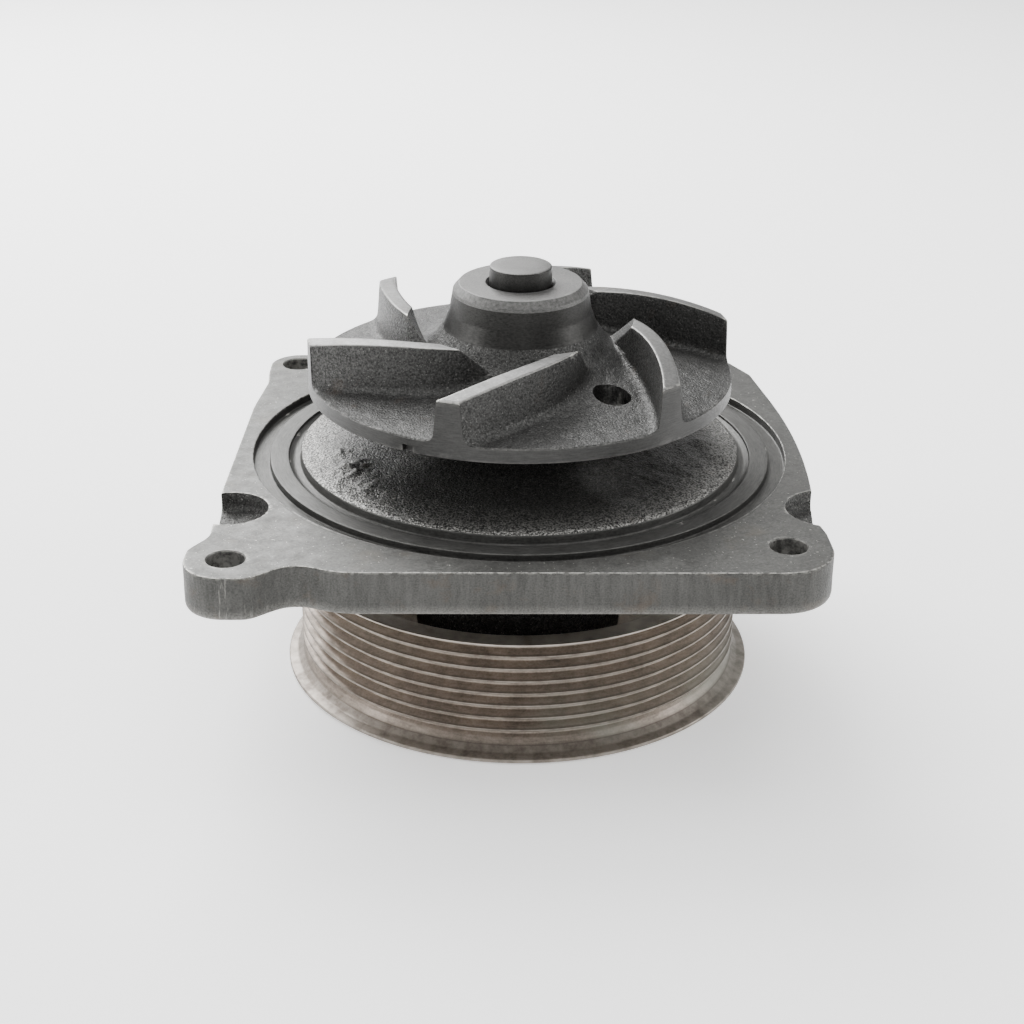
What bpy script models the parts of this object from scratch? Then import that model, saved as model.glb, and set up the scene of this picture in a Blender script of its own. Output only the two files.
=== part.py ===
"""Water pump: housing with flange plate, ball bearings, face seal, impeller, shaft and ribbed belt pulley.

Metres, +Z along the shaft towards the impeller. The pulley's lower rim and the shaft end lie in Z = 0.
"""
import math

import bmesh
import bpy
from mathutils import Matrix, Vector

# Round resolution
ROUND_COARSE = 24
ROUND_MEDIUM = 32
ROUND_FINE = 60
PULLEY_ROUND = 48
FIT_GAP = 0.0003

# Flange plate
PLATE_TOP = 0.0616
PLATE_BOTTOM = 0.0501
BOLT_HOLE_RADIUS = 0.0047
BOLT_HOLES = {
    "front_left": (-0.0721, -0.0708),
    "front_right": (0.0654, -0.0631),
    "back_right": (0.0540, 0.0654),
    "back_left": (-0.0650, 0.0641),
}
# Corners of the plate's outline with the radius that rounds each one, anticlockwise from the front left ear
PLATE_CORNERS = (
    (-0.0829, -0.0816, 0.0104),
    (-0.0659, -0.0816, 0.0063),
    (-0.0561, -0.0734, 0.0084),
    (-0.0442, -0.0783, 0.0210),
    (0.0768, -0.0783, 0.0136),
    (0.0759, -0.0559, 0.0041),
    (0.0745, -0.0484, 0.0062),
    (0.0791, 0.0041, 0.2800),
    (0.0695, 0.0560, 0.0077),
    (0.0597, 0.0753, 0.0090),
    (0.0285, 0.0760, 0.0950),
    (-0.0324, 0.0760, 0.0190),
    (-0.0440, 0.0720, 0.0115),
    (-0.0732, 0.0721, 0.0086),
    (-0.0734, 0.0574, 0.0058),
    (-0.0728, 0.0490, 0.0194),
    (-0.0752, 0.0290, 0.0590),
    (-0.0776, -0.0313, 0.1500),
    (-0.0775, -0.0578, 0.0083),
    (-0.0821, -0.0654, 0.0063),
)
CORNER_STEP = math.radians(15)
SCALLOPS = ((-0.0743, -0.0411, 0.0099), (0.0787, -0.0404, 0.0113))
SCALLOP_FLOOR = 0.0565

# Seal groove, raised ring and dome on the plate's top
GROOVE_OUTER_RADIUS = 0.0720
GROOVE_FLOOR = 0.0592
RING_OUTER_RADIUS = 0.0675
RING_INNER_RADIUS = 0.0624
RING_TOP = 0.0612
CHANNEL_FLOOR = 0.0598
DOME_RADIUS = 0.0593
DOME_EDGE_TOP = 0.0626
DOME_MIDDLE_RADIUS = 0.0420
DOME_MIDDLE_TOP = 0.0652
BOSS_FOOT_RADIUS = 0.0290
BOSS_FOOT_TOP = 0.0680
BOSS_RADIUS = 0.0240
BOSS_TOP = 0.0730

# Bearing barrel below the plate
BARREL_RADIUS = 0.0285
BARREL_BOTTOM = 0.0094
BARREL_NECK_BOTTOM = 0.0440
BARREL_NECK_RADIUS = 0.0350
BEARING_BORE = 0.0235
SHOULDER_HEIGHT = 0.0453
CHAMBER_RADIUS = 0.0180
SEAL_RIB_BOTTOM = 0.0535
SEAL_RIB_TOP = 0.0555
SEAL_RIB_RADIUS = 0.0135
SEAL_BORE = 0.0183
CIRCLIP_GROOVE_BOTTOM = 0.0098
CIRCLIP_GROOVE_TOP = 0.0116
CIRCLIP_GROOVE_RADIUS = 0.0250
WEEP_HEIGHT = 0.0482
WEEP_RADIUS = 0.0016

# Shaft
SHAFT_TOP = 0.1133
SHAFT_SEAT_RADIUS = 0.0083
SHAFT_BEARING_RADIUS = 0.0100
SHAFT_PULLEY_RADIUS = 0.0086
SHAFT_COLLAR_RADIUS = 0.0122
SHAFT_COLLAR_BOTTOM = 0.0456
SHAFT_COLLAR_TOP = 0.0468
SHAFT_STEP = 0.0560
SHAFT_CHAMFER = 0.0008

# Ball bearings: 20 mm bore, 47 mm outside, 14 mm wide
BEARING_FLOORS = {"lower": 0.0120, "upper": 0.0310}
BEARING_WIDTH = 0.0140
BALL_RADIUS = 0.00397
BALL_CIRCLE = 0.01675
BALL_COUNT = 8
INNER_RING_LIP = 0.0142
OUTER_RING_LIP = 0.0193
CAGE_INNER = 0.0157
CAGE_OUTER = 0.0178
CAGE_HALF_HEIGHT = 0.0052
SHIELD_THICKNESS = 0.0006
RACE_HALF_WIDTH = 0.0033
POCKET_DEPTH = 0.0060
SIDE_GAP = 0.0001
SHIELD_RECESS = 0.0002

# Pieces beside the bearings
SPACER_RADIUS = 0.0128
CIRCLIP_INNER = 0.0212
CIRCLIP_OUTER = 0.0247
CIRCLIP_HALF_GAP = math.radians(16)
SLINGER_RADIUS = 0.0160
SLINGER_BOTTOM = 0.0498
SLINGER_TOP = 0.0512

# Face seal
CUP_BOTTOM = 0.0558
CUP_WALL = 0.0008
CUP_FLANGE_RADIUS = 0.0205
CUP_HOLE = 0.0110
SPRING_COIL_RADIUS = 0.0151
SPRING_WIRE_RADIUS = 0.0007
SPRING_BOTTOM = 0.0577
SPRING_TOP = 0.0672
SPRING_TURNS = 4
CARBON_BOTTOM = 0.0706
CARBON_TOP = 0.0746
CARBON_OUTER = 0.0150
CARBON_NOSE_OUTER = 0.0126
CARBON_NOSE_HEIGHT = 0.0016
CARBON_INNER = 0.0104
SEAT_TOP = 0.0779
SEAT_INNER = 0.0102
SEAT_OUTER = 0.0142
BOOT_TOP = 0.0794
BOOT_OUTER = 0.0162
BOOT_LIP_HEIGHT = 0.0020
# Wavy rubber sleeve as (radius, height) points: down its outside, then up its inside
BELLOWS_OUTSIDE = (
    (0.0135, 0.0703),
    (0.0135, 0.0682),
    (0.0128, 0.0670),
    (0.0120, 0.0640),
    (0.0134, 0.0610),
    (0.0134, 0.0570),
)
BELLOWS_INSIDE = (
    (0.0112, 0.0570),
    (0.0112, 0.0606),
    (0.0104, 0.0640),
    (0.0108, 0.0674),
    (0.0108, 0.0703),
)

# Impeller
IMPELLER_RADIUS = 0.0566
IMPELLER_BOTTOM = 0.0804
RIM_TOP = 0.0845
DISC_MIDDLE_RADIUS = 0.0400
DISC_MIDDLE_TOP = 0.0861
HUB_TOP = 0.1087
HUB_RADIUS = 0.0179
HUB_FOOT_RADIUS = 0.0189
HUB_CHAMFER_DEPTH = 0.0018
HUB_CHAMFER_WIDTH = 0.0016
HUB_BORE_CHAMFER = 0.0010
# Hollow curve from the hub's foot out to the disc: distance out from the foot and drop below the hub's top
HUB_FILLET = ((0.0, 0.0074), (0.0015, 0.0115), (0.0048, 0.0163), (0.0102, 0.0201))
VANE_COUNT = 6
VANE_TIP_ANGLE = math.radians(10.6)
VANE_THICKNESS = 0.0043
VANE_FOOT_THICKNESS = 0.0060
VANE_FOOT_DEPTH = 0.0016
VANE_OUTER_TOP = 0.0955
VANE_ARCH = (0.0117, -0.0096)
VANE_REFERENCE_RADIUS = 0.0200
VANE_INNER_RADIUS = 0.0300
VANE_NOSE_RADIUS = 0.0220
VANE_NOSE_TOP = 0.0872
VANE_NOSE_BLUNTNESS = 0.45
VANE_SWEEP = (0.63, 0.67)
VANE_STATIONS = 11
BALANCE_HOLE_COUNT = 3
BALANCE_HOLE_CIRCLE = 0.0354
BALANCE_HOLE_ANGLE = math.radians(-49.1)
BALANCE_HOLE_RADIUS = 0.0050
NOTCH_ANGLE = math.radians(-120)
NOTCH_WIDTH = 0.0030
NOTCH_DEPTH = 0.0040
NOTCH_TOP = 0.0824

# Pulley
PULLEY_TOP = 0.0324
CREST_RADIUS = 0.0605
ROOT_RADIUS = 0.0578
RIB_PITCH = 0.00356
RIB_COUNT = 8
FIRST_CREST = 0.0326
CREST_HALF_WIDTH = 0.0004
FLANGE_RADIUS = 0.0645
FLANGE_EDGE_BOTTOM = 0.0006
FLANGE_EDGE_TOP = 0.0018
RIM_INNER_RADIUS = 0.0548
WEB_BOTTOM = 0.0030
WEB_TOP = 0.0080
PULLEY_HUB_RADIUS = 0.0160
PULLEY_HUB_TOP = 0.0117


def clear_scene():
    for thing in list(bpy.data.objects):
        bpy.data.objects.remove(thing, do_unlink=True)


def make_collection(name):
    collection = bpy.data.collections.new(name)
    bpy.context.scene.collection.children.link(collection)
    return collection


def make_material(name, color, metallic, roughness):
    material = bpy.data.materials.new(name)
    material.use_nodes = True
    shader = material.node_tree.nodes["Principled BSDF"]
    shader.inputs["Base Color"].default_value = (*color, 1.0)
    shader.inputs["Metallic"].default_value = metallic
    shader.inputs["Roughness"].default_value = roughness
    return material


clear_scene()
pump = make_collection("water_pump")
cutters = make_collection("cutters")

LOOKS = {
    "cast_iron": ((0.09, 0.09, 0.088), 0.75, 0.6),
    "impeller_iron": ((0.13, 0.13, 0.127), 0.75, 0.55),
    "pulley_steel": ((0.13, 0.115, 0.10), 0.85, 0.45),
    "shaft_steel": ((0.20, 0.20, 0.195), 0.95, 0.35),
    "bearing_steel": ((0.45, 0.45, 0.46), 1.0, 0.2),
    "cage_steel": ((0.40, 0.38, 0.33), 1.0, 0.35),
    "shield_rubber": ((0.03, 0.03, 0.03), 0.0, 0.6),
    "spring_steel": ((0.35, 0.35, 0.36), 1.0, 0.3),
    "seal_brass": ((0.55, 0.42, 0.20), 1.0, 0.3),
    "seal_rubber": ((0.02, 0.02, 0.02), 0.0, 0.55),
    "carbon": ((0.025, 0.025, 0.027), 0.1, 0.4),
    "seat_ceramic": ((0.75, 0.73, 0.68), 0.0, 0.3),
}


def finish(thing, look):
    """Give an object its own material."""
    color, metallic, roughness = LOOKS[look]
    thing.data.materials.clear()
    thing.data.materials.append(make_material(thing.name + "_" + look, color, metallic, roughness))


def as_cutter(thing):
    for owner in list(thing.users_collection):
        owner.objects.unlink(thing)
    cutters.objects.link(thing)
    thing.hide_render = True
    thing.display_type = "WIRE"
    return thing


def apply_boolean(thing, other, operation):
    step = thing.modifiers.new(operation.lower() + "_" + other.name, "BOOLEAN")
    step.operation = operation
    step.object = other
    step.solver = "EXACT"


def mesh_object(name, collection, vertices, edges, faces):
    mesh = bpy.data.meshes.new(name)
    mesh.from_pydata(vertices, edges, faces)
    thing = bpy.data.objects.new(name, mesh)
    collection.objects.link(thing)
    return thing


def revolve(name, profile, segments, closed=True):
    """Turn a profile of (radius, height) points about Z; an open profile starts and ends on the axis."""
    points = [(radius, 0.0, height) for radius, height in profile]
    edges = [(index, index + 1) for index in range(len(points) - 1)]
    if closed:
        edges.append((len(points) - 1, 0))
    thing = mesh_object(name, pump, points, edges, [])
    screw = thing.modifiers.new("turn", "SCREW")
    screw.axis = "Z"
    screw.angle = 2.0 * math.pi
    screw.steps = segments
    screw.render_steps = segments
    screw.use_merge_vertices = True
    screw.merge_threshold = 0.00001
    screw.use_smooth_shade = True
    return thing


def disc_cutter(name, radius, bottom, top, place=(0.0, 0.0), segments=24):
    mesh = bpy.data.meshes.new(name)
    shape = bmesh.new()
    bmesh.ops.create_cone(
        shape,
        cap_ends=True,
        segments=segments,
        radius1=radius,
        radius2=radius,
        depth=top - bottom,
    )
    shape.to_mesh(mesh)
    shape.free()
    thing = bpy.data.objects.new(name, mesh)
    thing.location = (place[0], place[1], (top + bottom) / 2.0)
    return as_cutter(thing)


def rounded_outline(corners):
    """Points round a polygon whose corners are each replaced by an arc of the given radius."""
    points = []
    count = len(corners)
    for index in range(count):
        before = Vector(corners[index - 1][:2])
        corner = Vector(corners[index][:2])
        after = Vector(corners[(index + 1) % count][:2])
        radius = corners[index][2]
        inward = (before - corner).normalized()
        outward = (after - corner).normalized()
        turn = math.pi - inward.angle(outward)
        reach = radius * math.tan(turn / 2.0)
        start = corner + inward * reach
        centre_way = (inward + outward).normalized()
        centre = corner + centre_way * (radius / math.cos(turn / 2.0))
        steps = max(2, math.ceil(turn / CORNER_STEP))
        spoke = start - centre
        side = 1.0 if (outward.x * inward.y - outward.y * inward.x) > 0.0 else -1.0
        for step in range(steps + 1):
            angle = side * turn * step / steps
            points.append((
                centre.x + spoke.x * math.cos(angle) - spoke.y * math.sin(angle),
                centre.y + spoke.x * math.sin(angle) + spoke.y * math.cos(angle),
            ))
    return points


def flat_solid(name, points, bottom, top, collection):
    """Extrude a flat outline between two heights and weld it into one closed mesh."""
    curve = bpy.data.curves.new(name + "_outline", "CURVE")
    curve.dimensions = "2D"
    curve.fill_mode = "BOTH"
    curve.extrude = (top - bottom) / 2.0
    spline = curve.splines.new("POLY")
    spline.points.add(len(points) - 1)
    for point, (east, north) in zip(spline.points, points):
        point.co = (east, north, 0.0, 1.0)
    spline.use_cyclic_u = True
    return curve_to_mesh(name, curve, (0.0, 0.0, (top + bottom) / 2.0), collection)


def curve_to_mesh(name, curve, place, collection):
    source = bpy.data.objects.new(name + "_curve", curve)
    source.location = place
    collection.objects.link(source)
    bpy.context.view_layer.update()
    graph = bpy.context.evaluated_depsgraph_get()
    mesh = bpy.data.meshes.new_from_object(source.evaluated_get(graph))
    shape = bmesh.new()
    shape.from_mesh(mesh)
    bmesh.ops.remove_doubles(shape, verts=shape.verts, dist=0.000001)
    bmesh.ops.recalc_face_normals(shape, faces=shape.faces)
    shape.to_mesh(mesh)
    shape.free()
    thing = bpy.data.objects.new(name, mesh)
    thing.matrix_world = source.matrix_world.copy()
    collection.objects.link(thing)
    bpy.data.objects.remove(source, do_unlink=True)
    return thing


def build_housing():
    """Flange plate, sealing face, dome, seal boss and bearing barrel as one casting."""
    housing = flat_solid("housing", rounded_outline(PLATE_CORNERS), PLATE_BOTTOM, PLATE_TOP, pump)
    trench = disc_cutter(
        "groove_trench", GROOVE_OUTER_RADIUS, GROOVE_FLOOR, PLATE_TOP + 0.002, segments=ROUND_FINE
    )
    core_foot = PLATE_BOTTOM + 0.003
    core_profile = (
        (BOSS_RADIUS, BOSS_TOP),
        (BOSS_RADIUS, BOSS_FOOT_TOP + 0.0010),
        (BOSS_FOOT_RADIUS, BOSS_FOOT_TOP),
        (DOME_MIDDLE_RADIUS, DOME_MIDDLE_TOP),
        (DOME_RADIUS, DOME_EDGE_TOP),
        (DOME_RADIUS + 0.0003, CHANNEL_FLOOR),
        (RING_INNER_RADIUS - 0.0008, CHANNEL_FLOOR + 0.0002),
        (RING_INNER_RADIUS, RING_TOP - 0.0004),
        (RING_INNER_RADIUS + 0.0003, RING_TOP),
        (RING_OUTER_RADIUS, RING_TOP),
        (RING_OUTER_RADIUS, GROOVE_FLOOR - 0.0012),
        (RING_INNER_RADIUS, core_foot),
        (BARREL_NECK_RADIUS + 0.0015, core_foot),
        (BARREL_NECK_RADIUS, PLATE_BOTTOM),
        (BARREL_RADIUS, BARREL_NECK_BOTTOM),
        (BARREL_RADIUS, BARREL_BOTTOM + 0.0010),
        (BARREL_RADIUS - 0.0010, BARREL_BOTTOM),
        (BEARING_BORE, BARREL_BOTTOM),
        (BEARING_BORE, CIRCLIP_GROOVE_BOTTOM),
        (CIRCLIP_GROOVE_RADIUS, CIRCLIP_GROOVE_BOTTOM),
        (CIRCLIP_GROOVE_RADIUS, CIRCLIP_GROOVE_TOP),
        (BEARING_BORE, CIRCLIP_GROOVE_TOP),
        (BEARING_BORE, SHOULDER_HEIGHT),
        (CHAMBER_RADIUS, SHOULDER_HEIGHT),
        (CHAMBER_RADIUS, SEAL_RIB_BOTTOM),
        (SEAL_RIB_RADIUS, SEAL_RIB_BOTTOM),
        (SEAL_RIB_RADIUS, SEAL_RIB_TOP),
        (SEAL_BORE, SEAL_RIB_TOP),
        (SEAL_BORE, BOSS_TOP),
    )
    core = as_cutter(revolve("housing_core", core_profile, ROUND_FINE))
    well = disc_cutter(
        "housing_well", BARREL_RADIUS, PLATE_BOTTOM - 0.002, PLATE_TOP + 0.002, segments=ROUND_FINE
    )
    apply_boolean(housing, trench, "DIFFERENCE")
    apply_boolean(housing, well, "DIFFERENCE")
    apply_boolean(housing, core, "UNION")
    for name, place in BOLT_HOLES.items():
        hole = disc_cutter(
            "bolt_hole_" + name, BOLT_HOLE_RADIUS, PLATE_BOTTOM - 0.002, PLATE_TOP + 0.002, place
        )
        apply_boolean(housing, hole, "DIFFERENCE")
    for east, north, radius in SCALLOPS:
        side = "right" if east > 0.0 else "left"
        scallop = disc_cutter(
            "scallop_" + side, radius, SCALLOP_FLOOR, PLATE_TOP + 0.002, (east, north)
        )
        apply_boolean(housing, scallop, "DIFFERENCE")
    weep = disc_cutter("weep_hole", WEEP_RADIUS, -0.0100, 0.0100, segments=12)
    weep.rotation_euler = (0.0, math.radians(90), 0.0)
    weep.location = (-(CHAMBER_RADIUS + BARREL_NECK_RADIUS) / 2.0, 0.0, WEEP_HEIGHT)
    apply_boolean(housing, weep, "DIFFERENCE")
    finish(housing, "cast_iron")


def build_shaft():
    bevel = SHAFT_CHAMFER
    profile = (
        (0.0, SHAFT_TOP),
        (SHAFT_SEAT_RADIUS - bevel, SHAFT_TOP),
        (SHAFT_SEAT_RADIUS, SHAFT_TOP - bevel),
        (SHAFT_SEAT_RADIUS, SHAFT_STEP),
        (SHAFT_BEARING_RADIUS, SHAFT_STEP - 0.0010),
        (SHAFT_BEARING_RADIUS, SHAFT_COLLAR_TOP),
        (SHAFT_COLLAR_RADIUS, SHAFT_COLLAR_TOP),
        (SHAFT_COLLAR_RADIUS, SHAFT_COLLAR_BOTTOM),
        (SHAFT_BEARING_RADIUS, SHAFT_COLLAR_BOTTOM),
        (SHAFT_BEARING_RADIUS, BEARING_FLOORS["lower"]),
        (SHAFT_PULLEY_RADIUS, BEARING_FLOORS["lower"]),
        (SHAFT_PULLEY_RADIUS, bevel),
        (SHAFT_PULLEY_RADIUS - bevel, 0.0),
        (0.0, 0.0),
    )
    finish(revolve("shaft", profile, ROUND_MEDIUM, closed=False), "shaft_steel")


def race_points(middle, lip, bottom_radius):
    """Points of a ball groove in a ring, from its lower lip to its upper lip."""
    shoulder_radius = (lip + 2.0 * bottom_radius) / 3.0
    shoulder_reach = 0.62 * RACE_HALF_WIDTH
    return [
        (lip, middle - RACE_HALF_WIDTH),
        (shoulder_radius, middle - shoulder_reach),
        (bottom_radius, middle),
        (shoulder_radius, middle + shoulder_reach),
        (lip, middle + RACE_HALF_WIDTH),
    ]


def build_bearing(place, floor):
    """One ball bearing: two rings, a cage with its balls, and a shield in each side."""
    middle = floor + BEARING_WIDTH / 2.0
    low = floor + SIDE_GAP
    high = floor + BEARING_WIDTH - SIDE_GAP
    prefix = place + "_bearing_"
    inner_bore = SHAFT_BEARING_RADIUS + FIT_GAP
    inner_race = BALL_CIRCLE - BALL_RADIUS - FIT_GAP
    outer_race = BALL_CIRCLE + BALL_RADIUS + FIT_GAP
    outside = BEARING_BORE - FIT_GAP
    inner_groove = race_points(middle, INNER_RING_LIP, inner_race)
    inner = [(INNER_RING_LIP, high)]
    inner += list(reversed(inner_groove))
    inner += [(INNER_RING_LIP, low), (inner_bore, low), (inner_bore, high)]
    finish(revolve(prefix + "inner_ring", inner, ROUND_COARSE), "bearing_steel")
    outer_groove = race_points(middle, OUTER_RING_LIP, outer_race)
    outer = [(outside, high), (outside, low), (OUTER_RING_LIP, low)]
    outer += outer_groove
    outer += [(OUTER_RING_LIP, high)]
    finish(revolve(prefix + "outer_ring", outer, ROUND_COARSE), "bearing_steel")

    band = (
        (CAGE_OUTER, middle + CAGE_HALF_HEIGHT),
        (CAGE_OUTER, middle - CAGE_HALF_HEIGHT),
        (CAGE_INNER, middle - CAGE_HALF_HEIGHT),
        (CAGE_INNER, middle + CAGE_HALF_HEIGHT),
    )
    cage = revolve(prefix + "cage", band, ROUND_COARSE)
    pockets = bmesh.new()
    for index in range(BALL_COUNT):
        angle = 2.0 * math.pi * index / BALL_COUNT
        aim = Matrix.Rotation(angle, 4, "Z") @ Matrix.Translation((BALL_CIRCLE, 0.0, middle))
        bmesh.ops.create_cone(
            pockets,
            cap_ends=True,
            segments=12,
            radius1=BALL_RADIUS + 1.5 * FIT_GAP,
            radius2=BALL_RADIUS + 1.5 * FIT_GAP,
            depth=POCKET_DEPTH,
            matrix=aim @ Matrix.Rotation(math.radians(90), 4, "Y"),
        )
    pocket_mesh = bpy.data.meshes.new(prefix + "pockets")
    pockets.to_mesh(pocket_mesh)
    pockets.free()
    pocket_cutter = as_cutter(bpy.data.objects.new(prefix + "pockets", pocket_mesh))
    apply_boolean(cage, pocket_cutter, "DIFFERENCE")
    finish(cage, "cage_steel")

    for index in range(BALL_COUNT):
        angle = 2.0 * math.pi * index / BALL_COUNT
        mesh = bpy.data.meshes.new(prefix + "ball_%d" % (index + 1))
        shape = bmesh.new()
        bmesh.ops.create_uvsphere(shape, u_segments=10, v_segments=7, radius=BALL_RADIUS)
        for face in shape.faces:
            face.smooth = True
        shape.to_mesh(mesh)
        shape.free()
        ball = bpy.data.objects.new(prefix + "ball_%d" % (index + 1), mesh)
        ball.location = (BALL_CIRCLE * math.cos(angle), BALL_CIRCLE * math.sin(angle), middle)
        pump.objects.link(ball)
        finish(ball, "bearing_steel")

    for side, height in (("bottom", low + SHIELD_RECESS), ("top", high - SHIELD_RECESS - SHIELD_THICKNESS)):
        shield = (
            (OUTER_RING_LIP - FIT_GAP, height + SHIELD_THICKNESS),
            (OUTER_RING_LIP - FIT_GAP, height),
            (INNER_RING_LIP + 2.0 * FIT_GAP, height),
            (INNER_RING_LIP + 2.0 * FIT_GAP, height + SHIELD_THICKNESS),
        )
        finish(revolve(prefix + side + "_shield", shield, ROUND_COARSE), "shield_rubber")


def ring_profile(inner, outer, bottom, top):
    return ((outer, top), (outer, bottom), (inner, bottom), (inner, top))


def build_bearing_neighbours():
    """Spacer between the inner rings, circlip below the lower bearing, slinger above the upper one."""
    bore = SHAFT_BEARING_RADIUS + FIT_GAP
    spacer_bottom = BEARING_FLOORS["lower"] + BEARING_WIDTH + FIT_GAP
    spacer_top = BEARING_FLOORS["upper"] - FIT_GAP
    spacer = ring_profile(bore, SPACER_RADIUS, spacer_bottom, spacer_top)
    finish(revolve("inner_ring_spacer", spacer, ROUND_COARSE), "shaft_steel")

    clip = []
    steps = 24
    start = math.radians(-90) + CIRCLIP_HALF_GAP
    sweep = 2.0 * (math.pi - CIRCLIP_HALF_GAP)
    for radius, order in ((CIRCLIP_OUTER, range(steps + 1)), (CIRCLIP_INNER, range(steps, -1, -1))):
        for step in order:
            angle = start + sweep * step / steps
            clip.append((radius * math.cos(angle), radius * math.sin(angle)))
    clip_bottom = CIRCLIP_GROOVE_BOTTOM + FIT_GAP
    clip_top = CIRCLIP_GROOVE_TOP - FIT_GAP
    finish(flat_solid("bearing_circlip", clip, clip_bottom, clip_top, pump), "spring_steel")

    slinger = ring_profile(bore, SLINGER_RADIUS, SLINGER_BOTTOM, SLINGER_TOP)
    finish(revolve("slinger", slinger, ROUND_COARSE), "shaft_steel")


def build_seal():
    """Face seal: fixed cup, bellows, spring and carbon face; turning seat ring in its boot."""
    outside = SEAL_BORE - FIT_GAP
    inside = outside - CUP_WALL
    flange_bottom = BOSS_TOP + FIT_GAP
    cup = (
        (CUP_FLANGE_RADIUS, flange_bottom + CUP_WALL),
        (CUP_FLANGE_RADIUS, flange_bottom),
        (outside, flange_bottom),
        (outside, CUP_BOTTOM),
        (CUP_HOLE, CUP_BOTTOM),
        (CUP_HOLE, CUP_BOTTOM + CUP_WALL),
        (inside, CUP_BOTTOM + CUP_WALL),
        (inside, flange_bottom + CUP_WALL),
    )
    finish(revolve("seal_cup", cup, ROUND_COARSE), "seal_brass")

    bellows = BELLOWS_OUTSIDE + BELLOWS_INSIDE
    finish(revolve("seal_bellows", bellows, ROUND_COARSE), "seal_rubber")

    curve = bpy.data.curves.new("seal_spring_path", "CURVE")
    curve.dimensions = "3D"
    curve.bevel_depth = SPRING_WIRE_RADIUS
    curve.bevel_resolution = 1
    curve.use_fill_caps = True
    spline = curve.splines.new("POLY")
    count = SPRING_TURNS * 16
    spline.points.add(count)
    for index, point in enumerate(spline.points):
        share = index / count
        angle = 2.0 * math.pi * SPRING_TURNS * share
        height = SPRING_BOTTOM + (SPRING_TOP - SPRING_BOTTOM) * share
        east = SPRING_COIL_RADIUS * math.cos(angle)
        north = SPRING_COIL_RADIUS * math.sin(angle)
        point.co = (east, north, height, 1.0)
    finish(curve_to_mesh("seal_spring", curve, (0.0, 0.0, 0.0), pump), "spring_steel")

    carbon = (
        (CARBON_OUTER, CARBON_TOP - CARBON_NOSE_HEIGHT),
        (CARBON_OUTER, CARBON_BOTTOM),
        (CARBON_INNER, CARBON_BOTTOM),
        (CARBON_INNER, CARBON_TOP),
        (CARBON_NOSE_OUTER, CARBON_TOP),
        (CARBON_NOSE_OUTER, CARBON_TOP - CARBON_NOSE_HEIGHT),
    )
    finish(revolve("carbon_face_ring", carbon, ROUND_COARSE), "carbon")

    seat_bottom = CARBON_TOP + FIT_GAP
    seat = ring_profile(SEAT_INNER, SEAT_OUTER, seat_bottom, SEAT_TOP)
    finish(revolve("seat_ring", seat, ROUND_COARSE), "seat_ceramic")

    boot_bore = SHAFT_SEAT_RADIUS + FIT_GAP
    boot_foot = seat_bottom + FIT_GAP
    boot = (
        (BOOT_OUTER, BOOT_TOP),
        (BOOT_OUTER, SEAT_TOP - BOOT_LIP_HEIGHT),
        (SEAT_OUTER + FIT_GAP, SEAT_TOP - BOOT_LIP_HEIGHT),
        (SEAT_OUTER + FIT_GAP, SEAT_TOP + FIT_GAP),
        (SEAT_INNER - FIT_GAP, SEAT_TOP + FIT_GAP),
        (SEAT_INNER - FIT_GAP, boot_foot),
        (boot_bore, boot_foot),
        (boot_bore, BOOT_TOP),
    )
    finish(revolve("seat_boot", boot, ROUND_COARSE), "seal_rubber")


def inward_share(radius):
    """0 at the impeller's rim and 1 at the vanes' reference radius."""
    return (IMPELLER_RADIUS - radius) / (IMPELLER_RADIUS - VANE_REFERENCE_RADIUS)


def vane_centre(radius):
    """Centre line of a vane seen along the shaft; it leans back as it goes in towards the hub."""
    share = inward_share(radius)
    steady, growing = VANE_SWEEP
    angle = VANE_TIP_ANGLE + steady * share + growing * share**3
    return Vector((radius * math.cos(angle), radius * math.sin(angle), 0.0))


def vane_top(radius):
    """Height of a vane's top edge: a shallow arch to its inner corner, then a straight fall to its nose."""
    share = inward_share(max(radius, VANE_INNER_RADIUS))
    rise, fall = VANE_ARCH
    arch = VANE_OUTER_TOP + rise * share + fall * share**2
    if radius >= VANE_INNER_RADIUS:
        return arch
    along_nose = (VANE_INNER_RADIUS - radius) / (VANE_INNER_RADIUS - VANE_NOSE_RADIUS)
    return arch + (VANE_NOSE_TOP - arch) * along_nose


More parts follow.
